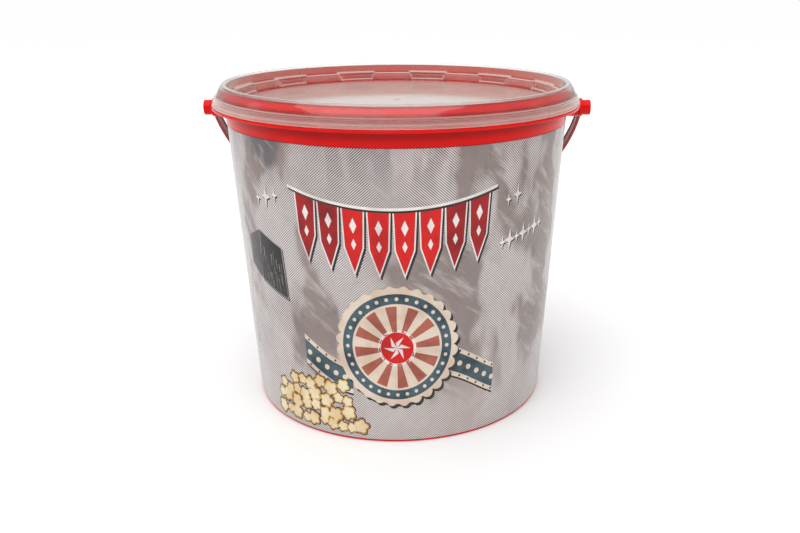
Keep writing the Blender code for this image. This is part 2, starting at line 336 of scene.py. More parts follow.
@dataclass(frozen=True)
class FrostedPlastic:
    """Natural polypropylene: clear square on, milkier the longer the way through its wall, greyed
    over the crown's top and the panel as painted shade.
    """

    name: str = "frosted_lid_plastic"
    milk: Colour = srgb(244, 223, 214)
    glow: Colour = srgb(240, 220, 208)
    # grey is painted shade: the milk's tone over the crown's top and, in part, over the panel.
    grey: Colour = srgb(208, 204, 199)
    painted_shade_height: float = 196.9
    painted_shade_panel_share: float = 0.6
    density: float = 0.022
    panel_density: float = 0.16
    panel_radius: float = 97.0
    frost_density: float = 0.85
    glow_share: float = 0.24
    gloss: float = 0.08
    mirror: float = 0.03

    def make(self) -> bpy.types.Material:
        """Return the material.

        Returns:
            The material.
        """
        recipe = Recipe(self.name)
        cloud = recipe.noise(9.0, 4)
        flow = recipe.noise(34.0, 3)
        fine = recipe.noise(1.6, 3)
        normal = recipe.bump((flow, 0.10), (cloud, 0.03), (fine, 0.0015))

        facing = recipe.node("ShaderNodeLayerWeight", blend=0.5).outputs["Facing"]
        square = recipe.maths("MAXIMUM", recipe.maths("SUBTRACT", 1.0, facing), 0.07)
        radius, height = recipe.round_axis()
        panel = recipe.window(radius, (self.panel_radius + 1.5) * MM, self.panel_radius * MM)
        density = recipe.maths("ADD", self.density, recipe.maths(
            "MULTIPLY", panel, self.panel_density - self.density))
        frost = recipe.node("ShaderNodeAttribute", {"attribute_name": "frost"}).outputs["Fac"]
        density = recipe.maths("ADD", density, recipe.maths("MULTIPLY", frost, self.frost_density))
        density = recipe.maths("MULTIPLY", density, recipe.spread(cloud, 0.72, 1.28))
        passed = recipe.maths("EXPONENT", recipe.maths("MULTIPLY", recipe.maths(
            "DIVIDE", density, square), -1.0))
        haze = recipe.maths("SUBTRACT", 1.0, passed, clamp=True)

        clear = recipe.node("ShaderNodeBsdfTransparent").outputs[0]
        # Painted shade: the milk turns grey over the crown's top and partly over the panel.
        crown = recipe.window(height, (self.painted_shade_height - 0.3) * MM, (self.painted_shade_height + 0.3) * MM)
        painted_shade_share = recipe.maths("MAXIMUM", crown, recipe.maths("MULTIPLY", panel, self.painted_shade_panel_share))
        tone = recipe.blend(painted_shade_share, self.milk, self.grey)
        body = recipe.node("ShaderNodeBsdfDiffuse", color=tone, normal=normal).outputs[0]
        glow = recipe.node("ShaderNodeBsdfTranslucent", color=self.glow, normal=normal).outputs[0]
        milk = recipe.node("ShaderNodeMixShader", fac=self.glow_share)
        recipe.feed(milk.inputs[1], body)
        recipe.feed(milk.inputs[2], glow)
        wall = recipe.node("ShaderNodeMixShader", fac=haze)
        recipe.feed(wall.inputs[1], clear)
        recipe.feed(wall.inputs[2], milk.outputs[0])

        roughness = recipe.maths("ADD", recipe.spread(flow, self.gloss - 0.03, self.gloss + 0.04),
                                 recipe.maths("MULTIPLY", recipe.window(fine, 0.58, 0.72), 0.08))
        shine = recipe.node("ShaderNodeBsdfAnisotropic", roughness=roughness, normal=normal)
        mirror = recipe.maths("ADD", self.mirror, recipe.maths(
            "MULTIPLY", recipe.maths("POWER", facing, 5.0), 1.0 - self.mirror))
        surface = recipe.node("ShaderNodeMixShader", fac=mirror)
        recipe.feed(surface.inputs[1], wall.outputs[0])
        recipe.feed(surface.inputs[2], shine.outputs[0])
        return recipe.finish(surface.outputs[0])


@dataclass(frozen=True)
class SleeveGround:
    """The sleeve's printed ground: grey clouds under fine slanted hatching, behind a gloss film."""

    name: str = "sleeve_ground"
    pale: Colour = srgb(192, 187, 188)
    grey: Colour = srgb(146, 137, 137)
    slate: Colour = srgb(84, 82, 90)
    taupe: Colour = srgb(124, 107, 100)
    line: Colour = srgb(232, 224, 220)
    gap: Colour = srgb(96, 85, 82)
    chalk: Colour = srgb(226, 216, 211)
    lines_round: int = 400
    rise: float = 1.42
    gloss: float = 0.18

    def hatch(self, recipe: Recipe, angle: Socket, height: Socket, lean: int) -> Socket:
        """Draw slanted lines.

        Args:
            recipe: The material being made.
            angle: The angle round the pail, in radians.
            height: The height, in millimetres.
            lean: 1 for lines that rise to the right, -1 for lines that fall.

        Returns:
            1 on a line and 0 between lines.
        """
        turn = recipe.maths("MULTIPLY", angle, float(self.lines_round))
        climb = recipe.maths("MULTIPLY", height, -lean * math.tau / self.rise)
        wave = recipe.maths("SINE", recipe.maths("ADD", turn, climb))
        return recipe.window(wave, -0.2, 0.3)

    def leaning(self, recipe: Recipe, height: Socket, lean: int) -> Socket:
        """Return a place twisted round the pail with height, so that noise runs along the hatch.

        Args:
            recipe: The material being made.
            height: The height, in millimetres.
            lean: 1 for a twist that rises to the right, -1 for one that falls.

        Returns:
            The place's socket.
        """
        pitch = math.tau / self.lines_round / self.rise
        twist = recipe.maths("MULTIPLY", height, -lean * pitch)
        return recipe.node("ShaderNodeVectorRotate", {"rotation_type": "Z_AXIS"},
                           vector=recipe.place, angle=twist).outputs[0]

    def clouds(self, recipe: Recipe, height: Socket) -> tuple[Socket, Socket]:
        """Draw the soft shapes behind the hatching.

        Args:
            recipe: The material being made.
            height: The height, in millimetres.

        Returns:
            The colour, and how far a place is left without lines.
        """
        clouds = recipe.noise(58.0, 5, 0.6, stretch=(1, 1, 0.8), turn=(0, 24, 10))
        patches = recipe.noise(44.0, 3, 0.5, stretch=(1.2, 1.2, 0.6), turn=(20, -30, 0))
        slashes = recipe.noise(26.0, 3, 0.5, stretch=(1.7, 1.7, 0.5), turn=(0, 38, 25))
        smears = recipe.noise(9.0, 5, 0.7, stretch=(1, 1, 0.6), at=self.leaning(recipe, height, 1))
        chalk = recipe.noise(11.0, 5, 0.65, stretch=(1, 1, 0.5),
                             at=self.leaning(recipe, height, -1))
        colour = recipe.blend(recipe.window(clouds, 0.40, 0.58), self.grey, self.pale)
        colour = recipe.blend(recipe.maths("MULTIPLY", recipe.window(patches, 0.50, 0.57), 0.85),
                              colour, self.taupe)
        # The dark slashes grow stronger towards the top.
        crown = recipe.maths("ADD", recipe.window(height, 140.0, 172.0), 0.12)
        dusk = recipe.maths("MULTIPLY", recipe.window(slashes, 0.48, 0.60), crown, clamp=True)
        colour = recipe.blend(dusk, colour, self.slate)
        grime = recipe.maths("MULTIPLY", recipe.window(smears, 0.52, 0.72), 0.40)
        colour = recipe.blend(grime, colour, self.slate)
        bright = recipe.maths("MULTIPLY", recipe.window(chalk, 0.50, 0.72), 0.42)
        colour = recipe.blend(bright, colour, self.chalk)
        # The ground turns paler towards the foot.
        low = recipe.maths("MULTIPLY", recipe.window(height, 70.0, 5.0), 0.45)
        colour = recipe.blend(low, colour, self.chalk)
        return colour, recipe.window(patches, 0.54, 0.60)

    def make(self) -> bpy.types.Material:
        """Return the material.

        Returns:
            The material.
        """
        recipe = Recipe(self.name)
        apart = recipe.node("ShaderNodeSeparateXYZ", vector=recipe.place)
        back = recipe.maths("MULTIPLY", apart.outputs["Y"], -1.0)
        angle = recipe.maths("ARCTAN2", apart.outputs["X"], back)
        height = recipe.maths("MULTIPLY", apart.outputs["Z"], 1 / MM)
        colour, bare = self.clouds(recipe, height)

        sway = recipe.maths("SINE", recipe.maths("MULTIPLY", angle, 2.0))
        left = recipe.window(sway, 0.35, -0.30)
        right = recipe.window(sway, -0.35, 0.30)
        inked = recipe.maths("SUBTRACT", 1.0, recipe.maths("MULTIPLY", bare, 0.85))
        for lean, share in ((1, left), (-1, right)):
            lines = self.hatch(recipe, angle, height, lean)
            weight = recipe.maths("MULTIPLY", share, inked)
            light = recipe.maths("MULTIPLY", recipe.maths("MULTIPLY", lines, weight), 0.78)
            dark = recipe.maths("MULTIPLY", recipe.maths("MULTIPLY", recipe.maths(
                "SUBTRACT", 1.0, lines), weight), 0.62)
            colour = recipe.blend(light, colour, self.line)
            colour = recipe.blend(dark, colour, self.gap)

        film = recipe.noise(38.0, 3, stretch=(1, 1, 0.35))
        grain = recipe.noise(0.9, 2)
        gloss = recipe.maths("ADD", recipe.spread(film, self.gloss - 0.04, self.gloss + 0.06),
                             recipe.maths("MULTIPLY", grain, 0.05))
        normal = recipe.bump((film, 0.10), (grain, 0.002))
        shader = recipe.node("ShaderNodeBsdfPrincipled", base_color=colour, roughness=gloss,
                             normal=normal, ior=1.36)
        return recipe.finish(shader.outputs[0])


class Ink(Enum):
    """Colours of the print, each with the colour it drifts to."""

    RED = (srgb(214, 22, 16), srgb(184, 16, 16))
    WINE = (srgb(164, 22, 26), srgb(126, 16, 20))
    WHITE = (srgb(236, 230, 226), srgb(214, 206, 200))
    CREAM = (srgb(228, 210, 192), srgb(208, 186, 166))
    CLAY = (srgb(176, 98, 80), srgb(146, 76, 62))
    TEAL = (srgb(74, 98, 108), srgb(42, 60, 68))
    COAL = (srgb(30, 28, 28), srgb(54, 51, 50))
    ASH = (srgb(58, 54, 53), srgb(84, 79, 77))
    CHALK = (srgb(170, 163, 158), srgb(112, 106, 103))
    SHADE = (srgb(38, 33, 33), srgb(62, 56, 55))
    GOLD = (srgb(214, 174, 104), srgb(178, 124, 60))
    PUFF = (srgb(238, 224, 190), srgb(222, 196, 146))


@dataclass(frozen=True)
class PrintInk:
    """A printed colour under the sleeve's film, with soft drift, fine dots and the film's gloss."""

    ink: Ink
    drift_size: float = 16.0
    gloss: float = 0.18

    def make(self) -> bpy.types.Material:
        """Return the material.

        Returns:
            The material.
        """
        recipe = Recipe(f"ink_{self.ink.name.lower()}")
        main, second = self.ink.value
        drift = recipe.noise(self.drift_size, 3)
        grain = recipe.noise(0.7, 2)
        colour = recipe.blend(recipe.window(drift, 0.38, 0.68), main, second)
        colour = recipe.blend(recipe.spread(recipe.window(grain, 0.5, 0.72), 0.0, 0.28),
                              colour, second)
        film = recipe.noise(38.0, 3, stretch=(1, 1, 0.35))
        gloss = recipe.spread(film, self.gloss - 0.04, self.gloss + 0.06)
        normal = recipe.bump((film, 0.10), (grain, 0.002))
        shader = recipe.node("ShaderNodeBsdfPrincipled", base_color=colour, roughness=gloss,
                             normal=normal, ior=1.36)
        return recipe.finish(shader.outputs[0])


@dataclass(frozen=True)
class PoppedCorn:
    """Popped corn: cream foam, butter-gold in spots, amber the deeper a place lies in a fold, brown
    at the hull.
    """

    name: str = "popped_corn"
    cream: Colour = srgb(255, 244, 220)
    butter: Colour = srgb(250, 220, 150)
    amber: Colour = srgb(222, 146, 52)
    hull: Colour = srgb(128, 60, 24)

    def make(self) -> bpy.types.Material:
        """Return the material.

        Returns:
            The material.
        """
        recipe = Recipe(self.name)
        fold = recipe.node("ShaderNodeAttribute", {"attribute_name": "fold"}).outputs["Fac"]
        husk = recipe.node("ShaderNodeAttribute", {"attribute_name": "husk"}).outputs["Fac"]
        spots = recipe.noise(11.0, 3)
        foam = recipe.noise(1.3, 4)
        cells = recipe.node("ShaderNodeTexVoronoi", vector=recipe.place, scale=1 / (1.1 * MM))
        colour = recipe.blend(recipe.window(spots, 0.50, 0.66), self.cream, self.butter)
        # Amber grows with how deep a place lies in a fold, in spots.
        fold_amber = recipe.maths("MULTIPLY", fold, recipe.spread(spots, 0.25, 1.35), clamp=True)
        colour = recipe.blend(recipe.maths("MULTIPLY", fold_amber, 0.85), colour, self.amber)
        colour = recipe.blend(recipe.window(husk, 0.35, 0.75), colour, self.hull)
        normal = recipe.bump((foam, 0.45), (cells.outputs["Distance"], 0.12))
        shader = recipe.node("ShaderNodeBsdfPrincipled", base_color=colour, normal=normal,
                             roughness=recipe.spread(foam, 0.62, 0.85))
        shader.inputs["Subsurface Weight"].default_value = 0.15
        shader.inputs["Subsurface Radius"].default_value = (0.0030, 0.0020, 0.0012)
        return recipe.finish(shader.outputs[0])


# ---------------------------------------------------------------------------------------------
# Shape building


@dataclass(frozen=True)
class Corner:
    """A corner of a turned outline: radius, height and how far before it the bend starts."""

    radius: float
    height: float
    ease: float = 0.0


def eased(corners: Sequence[Corner], closed: bool = False, bends: int = 4) -> list[Point]:
    """Round the corners of an outline.

    Args:
        corners: Its corners. One with no ease stays a single point.
        closed: Whether the last corner joins the first.
        bends: Steps in each bend.

    Returns:
        The rounded outline, with a point close to each end of a bend to hold the flat there.
    """
    count = len(corners)
    places = [Vector((corner.radius, corner.height)) for corner in corners]
    outline = []
    for index, corner in enumerate(corners):
        here = places[index]
        if corner.ease <= 0 or (not closed and index in (0, count - 1)):
            outline.append(tuple(here))
            continue
        before, after = places[index - 1], places[(index + 1) % count]
        ends = []
        neighbours = (corners[index - 1], corners[(index + 1) % count])
        for other, neighbour in zip((before, after), neighbours):
            run = (other - here).length
            ease = min(corner.ease, 0.4 * run)
            spare = run - ease - min(neighbour.ease, 0.4 * run)
            ends.append((ease, ease + min(0.25, 0.3 * spare), (other - here).normalized()))
        (ease_in, hold_in, to_before), (ease_out, hold_out, to_after) = ends
        outline.append(tuple(here + to_before * hold_in))
        start, end = here + to_before * ease_in, here + to_after * ease_out
        for step in range(bends + 1):
            share = step / bends
            point = start * (1 - share) ** 2 + here * 2 * share * (1 - share) + end * share ** 2
            outline.append(tuple(point))
        outline.append(tuple(here + to_after * hold_out))
    return outline


def even_angles(count: int) -> list[float]:
    """Return angles evenly round a turn."""
    return [math.tau * step / count for step in range(count)]


def turned_mesh(name: str, outline_at: Callable[[float], Sequence[Point]],
                angles: Sequence[float], closed: bool) -> bpy.types.Mesh:
    """Turn an outline about Z.

    Args:
        name: The mesh's name.
        outline_at: Gives the outline, in millimetres, at an angle; all have as many points.
        angles: The angles, in radians.
        closed: Whether the outline is a ring. If not, its ends lie on the axis.

    Returns:
        A closed mesh, in metres.
    """
    shape = bmesh.new()
    first = outline_at(angles[0])
    poles = [] if closed else [shape.verts.new((0, 0, first[end][1] * MM)) for end in (0, -1)]
    columns = []
    for angle in angles:
        outline = outline_at(angle)
        across, along = math.cos(angle) * MM, math.sin(angle) * MM
        rows = outline if closed else outline[1:-1]
        columns.append([shape.verts.new((r * across, r * along, z * MM)) for r, z in rows])
    for here, after in zip(columns, columns[1:] + columns[:1]):
        rows = len(here)
        for row in range(rows if closed else rows - 1):
            below = (row + 1) % rows
            shape.faces.new((here[row], here[below], after[below], after[row]))
        if poles:
            shape.faces.new((poles[0], here[0], after[0]))
            shape.faces.new((poles[1], after[-1], here[-1]))
    bmesh.ops.recalc_face_normals(shape, faces=shape.faces)
    mesh = bpy.data.meshes.new(name)
    shape.to_mesh(mesh)
    shape.free()
    return mesh


def add_piece(name: str, mesh: bpy.types.Mesh, materials: Iterable[bpy.types.Material],
              crease: float | None = 40.0) -> bpy.types.Object:
    """Link a mesh as a named piece.

    Args:
        name: The piece's name.
        mesh: Its mesh.
        materials: Its materials, in slot order.
        crease: The angle, in degrees, past which an edge stays sharp, or None for flat faces.

    Returns:
        The object.
    """
    piece = bpy.data.objects.new(name, mesh)
    bpy.context.scene.collection.objects.link(piece)
    for material in materials:
        mesh.materials.append(material)
    if crease is not None:
        mesh.shade_smooth()
        mesh.set_sharp_from_angle(angle=math.radians(crease))
    return piece


def joined(piece: bpy.types.Object, tools: Sequence[bpy.types.Object],
           operation: str = "UNION") -> None:
    """Join or cut a piece with tools by exact Booleans, apply them and remove the tools.

    Args:
        piece: The piece, which is changed.
        tools: The objects that it is joined to or cut by.
        operation: The Boolean's operation.
    """
    for tool in tools:
        cut = piece.modifiers.new(tool.name, "BOOLEAN")
        cut.operation = operation
        cut.object = tool
        cut.solver = "EXACT"
    graph = bpy.context.evaluated_depsgraph_get()
    mesh = bpy.data.meshes.new_from_object(piece.evaluated_get(graph))
    piece.modifiers.clear()
    old = piece.data
    piece.data = mesh
    mesh.name = old.name
    bpy.data.meshes.remove(old)
    for tool in tools:
        bpy.data.objects.remove(tool, do_unlink=True)


def turned_bar(name: str, outline: Sequence[Point], side: int, height: float,
               sides: int = 72) -> bpy.types.Object:
    """Turn an outline about a line along X.

    Args:
        name: The object's name.
        outline: (distance along X, radius) from end to end, its ends on the line.
        side: 1 for the +X side, -1 for the -X side.
        height: The line's height.
        sides: Sides round the line.

    Returns:
        The bar as an object.
    """
    points = [(radius, along) for along, radius in outline]
    mesh = turned_mesh(name, lambda angle: points, even_angles(sides), closed=False)
    lay = Matrix.Rotation(math.pi / 2, 4, "Y")
    mesh.transform(Matrix.Translation((0, 0, height * MM)) @ lay)
    if side < 0:
        mesh.transform(Matrix.Rotation(math.pi, 4, "Z"))
    return add_piece(name, mesh, (), None)


# ---------------------------------------------------------------------------------------------
# The pail


@dataclass
class Wall:
    """The taper that the pail and its sleeve share."""

    base_radius: float = 93.6
    sleeve_thickness: float = 0.4
    fit_gap: float = 0.3
    top_radius: float = field(default_factory=lambda: cad_radius("label"))
    top_height: float = field(default_factory=lambda: cad_top("label"))

    def sleeve(self, height: float) -> float:
        """Return the sleeve's outer radius at a height."""
        return self.base_radius + (self.top_radius - self.base_radius) * height / self.top_height

    def pail(self, height: float) -> float:
        """Return the pail's outer radius at a height."""
        return self.sleeve(height) - self.sleeve_thickness - self.fit_gap


@dataclass
class Pail:
    """The red pail: floor, wall, collar, flange, beaded rim and the trunnions for the bail."""

    wall: Wall
    finish: GlossPlastic
    thickness: float = 1.4
    floor_top: float = 3.4
    floor_under: float = 1.8
    foot_radius: float = 93.4
    foot_inner: float = 88.5
    collar: Point = (103.7, 104.3)
    flange_under: float = 184.6
    flange_top: float = 186.2
    flange_radius: float = field(default_factory=lambda: cad_radius("bucket"))
    mouth: float = 103.3
    rim_outer: float = 105.0
    bead_radius: float = 107.0
    bead_height: float = 193.2
    rim_top: float = 196.8
    pin_height: float = field(default_factory=lambda: frame["joints"][0]["pos_m"][2] / MM)
    pin_tip: float = field(default_factory=lambda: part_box("bucket")[1].x / MM)
    pin_radius: float = 4.2
    head_radius: float = 4.6
    head_start: float = 114.6
    boss_half: float = 5.4
    boss_reach: float = 111.95
    segments: int = 288

    def outline(self) -> list[Point]:
        """Return the turned outline, from the floor's middle inside round to its middle below.

        Returns:
            The rounded outline.
        """
        inside, gap = self.thickness, self.wall.fit_gap
        floor_edge = self.wall.pail(self.floor_top) - inside
        corners = [
            Corner(0.0, self.floor_top),
            Corner(40.0, self.floor_top),
            Corner(floor_edge, self.floor_top, 1.8),
            Corner(self.wall.pail(176.5) - inside, 176.5, 1.0),
            Corner(self.mouth - gap, 181.0, 1.0),
            Corner(self.mouth, self.flange_top, 1.0),
            Corner(self.mouth, self.rim_top, 0.6),
            Corner(self.mouth + 1.1, self.rim_top, 0.5),
            Corner(self.bead_radius, self.bead_height, 0.8),
            Corner(self.rim_outer, self.bead_height - 1.5, 0.4),
            Corner(self.rim_outer, self.flange_top, 0.3),
            Corner(self.flange_radius, self.flange_top, 0.45),
            Corner(self.flange_radius, self.flange_under, 0.45),
            Corner(self.collar[1], self.flange_under, 0.5),
            Corner(self.collar[0], self.wall.top_height + gap, 0.15),
            Corner(self.wall.pail(self.wall.top_height), self.wall.top_height + gap, 0.1),
            Corner(self.wall.pail(1.2), 1.2, 0.1),
            Corner(self.foot_radius, 1.0, 0.1),
            Corner(self.foot_radius - 0.7, 0.0, 0.5),
            Corner(self.foot_inner, 0.0, 0.4),
            Corner(self.foot_inner, self.floor_under, 0.3),
        ]
        for ring in (76.0, 52.0, 28.0):
            corners += [Corner(ring + 0.8, self.floor_under, 0.2), Corner(ring, 1.4, 0.3),
                        Corner(ring - 0.8, self.floor_under, 0.2)]
        corners += [Corner(2.2, self.floor_under, 0.2), Corner(1.8, 1.2, 0.3), Corner(0.0, 1.2)]
        return eased(corners)

    def pin(self, side: int) -> bpy.types.Object:
        """Return one trunnion, with its flared root and its head.

        Args:
            side: 1 for the +X side, -1 for the -X side.

        Returns:
            The trunnion.
        """
        root = self.collar[1] - self.thickness / 2
        corners = [
            Corner(root, 0.0),
            Corner(root, self.pin_radius, 0.1),
            Corner(self.head_start - 0.3, self.pin_radius, 0.2),
            Corner(self.head_start, self.head_radius, 0.2),
            Corner(self.pin_tip, self.head_radius, 0.35),
            Corner(self.pin_tip, 3.0, 0.3),
            Corner(self.pin_tip - 0.4, 2.4, 0.3),
            Corner(self.pin_tip - 0.4, 0.0),
        ]
        return turned_bar(f"pin_{side}", eased(corners), side, self.pin_height)

    def boss(self, side: int) -> bpy.types.Object:
        """Return the rounded lug that carries a trunnion under the flange.

        Args:
            side: 1 for the +X side, -1 for the -X side.

        Returns:
            The lug.
        """
        top = (self.flange_under + self.flange_top) / 2
        root = self.collar[0] - self.thickness / 2
        steps = 24
        outline = [(-self.boss_half, top)]
        for step in range(steps + 1):
            angle = math.pi + math.pi * step / steps
            outline.append((self.boss_half * math.cos(angle),
                            self.pin_height + self.boss_half * math.sin(angle)))
        outline.append((self.boss_half, top))
        shape = bmesh.new()
        near = [shape.verts.new((side * root * MM, y * MM, z * MM)) for y, z in outline]
        block = bmesh.ops.extrude_face_region(shape, geom=[shape.faces.new(near)])
        far = [part for part in block["geom"] if isinstance(part, bmesh.types.BMVert)]
        bmesh.ops.translate(shape, verts=far, vec=(side * (self.boss_reach - root) * MM, 0, 0))
        bmesh.ops.recalc_face_normals(shape, faces=shape.faces)
        rim = [edge for edge in shape.edges if all(vert in far for vert in edge.verts)]
        bmesh.ops.bevel(shape, geom=rim, offset=0.5 * MM, segments=3, affect="EDGES",
                        clamp_overlap=True)
        mesh = bpy.data.meshes.new(f"boss_{side}")
        shape.to_mesh(mesh)
        shape.free()
        return add_piece(f"boss_{side}", mesh, (), None)

    def build(self) -> bpy.types.Object:
        """Make the pail, dress it and set it in the frame.

        Returns:
            The piece.
        """
        outline = self.outline()
        mesh = turned_mesh("pail", lambda angle: outline, even_angles(self.segments), closed=False)
        pail = add_piece("pail", mesh, [self.finish.make()])
        joined(pail, [make(side) for side in (1, -1) for make in (self.boss, self.pin)])
        pail.data.shade_smooth()
        pail.data.set_sharp_from_angle(angle=math.radians(35))
        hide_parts("bucket")
        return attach(pail, "root")


# ---------------------------------------------------------------------------------------------
# The sleeve and its print


@dataclass
class Sleeve:
    """The printed sleeve round the wall, its lower edge turned in at the foot."""

    wall: Wall
    finish: SleeveGround
    low_edge: float = 1.5
    segments: int = 288

    def build(self) -> bpy.types.Object:
        """Make the sleeve, dress it and set it in the frame.

        Returns:
            The piece.
        """
        thick, top = self.wall.sleeve_thickness, self.wall.top_height
        low = self.wall.sleeve(self.low_edge) - 0.2
        bend = 2 * self.low_edge
        corners = [Corner(self.wall.top_radius, top, 0.12)]
        corners += [Corner(self.wall.sleeve(top * share), top * share)
                    for share in (0.75, 0.5, 0.25)]
        corners += [
            Corner(self.wall.sleeve(bend), bend, 0.8),
            Corner(low, self.low_edge, 0.1),
            Corner(low - thick, self.low_edge, 0.1),
            Corner(self.wall.sleeve(bend) - thick, bend, 0.8),
            Corner(self.wall.top_radius - thick, top, 0.12),
        ]
        outline = eased(corners, closed=True)
        mesh = turned_mesh("sleeve", lambda angle: outline, even_angles(self.segments), closed=True)
        sleeve = add_piece("sleeve", mesh, [self.finish.make()], 50.0)
        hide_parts("label")
        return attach(sleeve, "root")


def disc(centre: Point, radius: float, sides: int = 40) -> list[Point]:
    """Return a circle's outline on the sleeve."""
    return [(centre[0] + radius * math.cos(angle), centre[1] + radius * math.sin(angle))
            for angle in even_angles(sides)]


def scallop(centre: Point, radius: float, depth: float, lobes: int, steps: int = 8) -> list[Point]:
    """Return a scalloped circle: lobes of a depth standing out from a radius.

    Args:
        centre: The middle, (along, up).
        radius: The radius that the lobes stand out from.
        depth: How far each lobe stands out.
        lobes: How many lobes there are.
        steps: Points or lengths in each arc.

    Returns:
        The outline.
    """
    outline = []
    for angle in even_angles(lobes * steps):
        reach = radius + depth * abs(math.sin(angle * lobes / 2)) ** 0.8
        outline.append((centre[0] + reach * math.cos(angle), centre[1] + reach * math.sin(angle)))
    return outline


def wedge(centre: Point, near: float, far: float, start: float, end: float,
          steps: int = 5) -> list[Point]:
    """Return a slice of a ring between two radii and two angles, in degrees.

    Args:
        centre: The ring's middle, (along, up).
        near: The smaller radius.
        far: The larger radius.
        start: The first angle, in degrees.
        end: The last angle, in degrees.
        steps: Points or lengths in each arc.

    Returns:
        The outline.
    """
    turns = [math.radians(start + (end - start) * step / steps) for step in range(steps + 1)]
    outer = [(centre[0] + far * math.cos(a), centre[1] + far * math.sin(a)) for a in turns]
    inner = [(centre[0] + near * math.cos(a), centre[1] + near * math.sin(a)) for a in turns]
    return outer + inner[::-1]


def grown(outline: Sequence[Point], width: float) -> list[Point]:
    """Return a convex outline, drawn anticlockwise, moved outwards by a width.

    Args:
        outline: The outline, drawn anticlockwise.
        width: How far it moves outwards.

    Returns:
        The moved outline.
    """
    result = []
    count = len(outline)
    for index, here in enumerate(outline):
        before, after = outline[index - 1], outline[(index + 1) % count]
        normals = []
        for start, end in ((before, here), (here, after)):
            run = Vector((end[0] - start[0], end[1] - start[1])).normalized()
            normals.append(Vector((run.y, -run.x)))
        middle = (normals[0] + normals[1]).normalized()
        reach = width / max(0.35, middle.dot(normals[0]))
        result.append((here[0] + middle.x * reach, here[1] + middle.y * reach))
    return result


def shifted(outline: Sequence[Point], move: Point) -> list[Point]:
    """Return an outline moved by (along, up)."""
    return [(along + move[0], up + move[1]) for along, up in outline]


def spun(outline: Sequence[Point], centre: Point, degrees: float) -> list[Point]:
    """Return an outline turned anticlockwise about a point.

    Args:
        outline: The outline, drawn anticlockwise.
        centre: The point that it turns about.
        degrees: The turn, in degrees.

    Returns:
        The turned outline.
    """
    cosine, sine = math.cos(math.radians(degrees)), math.sin(math.radians(degrees))
    return [(centre[0] + (along - centre[0]) * cosine - (up - centre[1]) * sine,
             centre[1] + (along - centre[0]) * sine + (up - centre[1]) * cosine)
            for along, up in outline]


class Layer(Enum):
    """How high a printed shape lies in the stack of inks, in millimetres above the ground."""

    SHADE = 0.03
    EDGE = 0.06
    FIELD = 0.09
    DETAIL = 0.12
    TOP = 0.15


@dataclass
class PrintSheet:
    """A group of printed shapes wrapped round the sleeve as one thin piece."""

    name: str
    wall: Wall
    materials: dict[Ink, bpy.types.Material]
    lift: float = 0.0
    facet: float = 3.0
    sunk: float = 0.02
    shapes: list[tuple[Sequence[Point], Ink, Layer]] = field(default_factory=list)

    def add(self, outline: Sequence[Point], ink: Ink, layer: Layer) -> None:
        """Add a shape, drawn anticlockwise."""
        self.shapes.append((outline, ink, layer))

    def framed(self, outline: Sequence[Point], ink: Ink, edge: float, drop: Point) -> None:
        """Add a shape with a white edge of a width and a dark shadow moved by drop.

        Args:
            outline: The outline, drawn anticlockwise.
            ink: The colour of the shape.
            edge: The white edge's width.
            drop: How far the shadow is moved, (along, up).
        """
        self.add(shifted(grown(outline, edge), drop), Ink.SHADE, Layer.SHADE)
        self.add(grown(outline, edge), Ink.WHITE, Layer.EDGE)
        self.add(outline, ink, Layer.FIELD)

    def wrap(self, point: Vector) -> Vector:
        """Return the place round the pail of a point (along, up, above), in metres.

        Args:
            point: The point, (along, up, above).

        Returns:
            The place.
        """
        angle = point.x / self.wall.top_radius
        radius = (self.wall.sleeve(point.y) + point.z) * MM
        return Vector((radius * math.sin(angle), -radius * math.cos(angle), point.y * MM))

    def slab(self, outline: Sequence[Point], height: float) -> bmesh.types.BMesh:
        """Return one shape as a thin closed slab, cut finely enough to bend round the wall.

        Args:
            outline: Its outline.
            height: How far its face stands above the ground.

        Returns:
            The slab, still flat: (along, up, above).
        """
        flat = bmesh.new()
        flat.faces.new([flat.verts.new((along, up, height)) for along, up in outline])
        bmesh.ops.triangulate(flat, faces=flat.faces[:])
        low = min(along for along, _ in outline)
        high = max(along for along, _ in outline)
        for step in range(math.ceil(low / self.facet), math.ceil(high / self.facet)):
            everything = flat.verts[:] + flat.edges[:] + flat.faces[:]
            bmesh.ops.bisect_plane(flat, geom=everything, plane_co=(step * self.facet, 0, 0),
                                   plane_no=(1, 0, 0), dist=1e-5)
        grown_part = bmesh.ops.extrude_face_region(flat, geom=flat.faces[:])
        raised = [part for part in grown_part["geom"] if isinstance(part, bmesh.types.BMVert)]
        bmesh.ops.translate(flat, verts=raised, vec=(0, 0, -height - self.sunk))
        bmesh.ops.recalc_face_normals(flat, faces=flat.faces)
        return flat

    def build(self) -> bpy.types.Object:
        """Make the piece, dress it and set it in the frame.

        Returns:
            The piece.
        """
        inks = sorted({ink for _, ink, _ in self.shapes}, key=lambda ink: ink.name)
        whole = bmesh.new()
        for outline, ink, layer in self.shapes:
            flat = self.slab(outline, layer.value + self.lift)
            for vert in flat.verts:
                vert.co = self.wrap(vert.co)
            for face in flat.faces:
                face.material_index = inks.index(ink)
            part = bpy.data.meshes.new("part")
            flat.to_mesh(part)
            flat.free()
            whole.from_mesh(part)
            bpy.data.meshes.remove(part)
        mesh = bpy.data.meshes.new(self.name)
        whole.to_mesh(mesh)
        whole.free()
        piece = add_piece(self.name, mesh, [self.materials[ink] for ink in inks], 30.0)
        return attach(piece, "root")


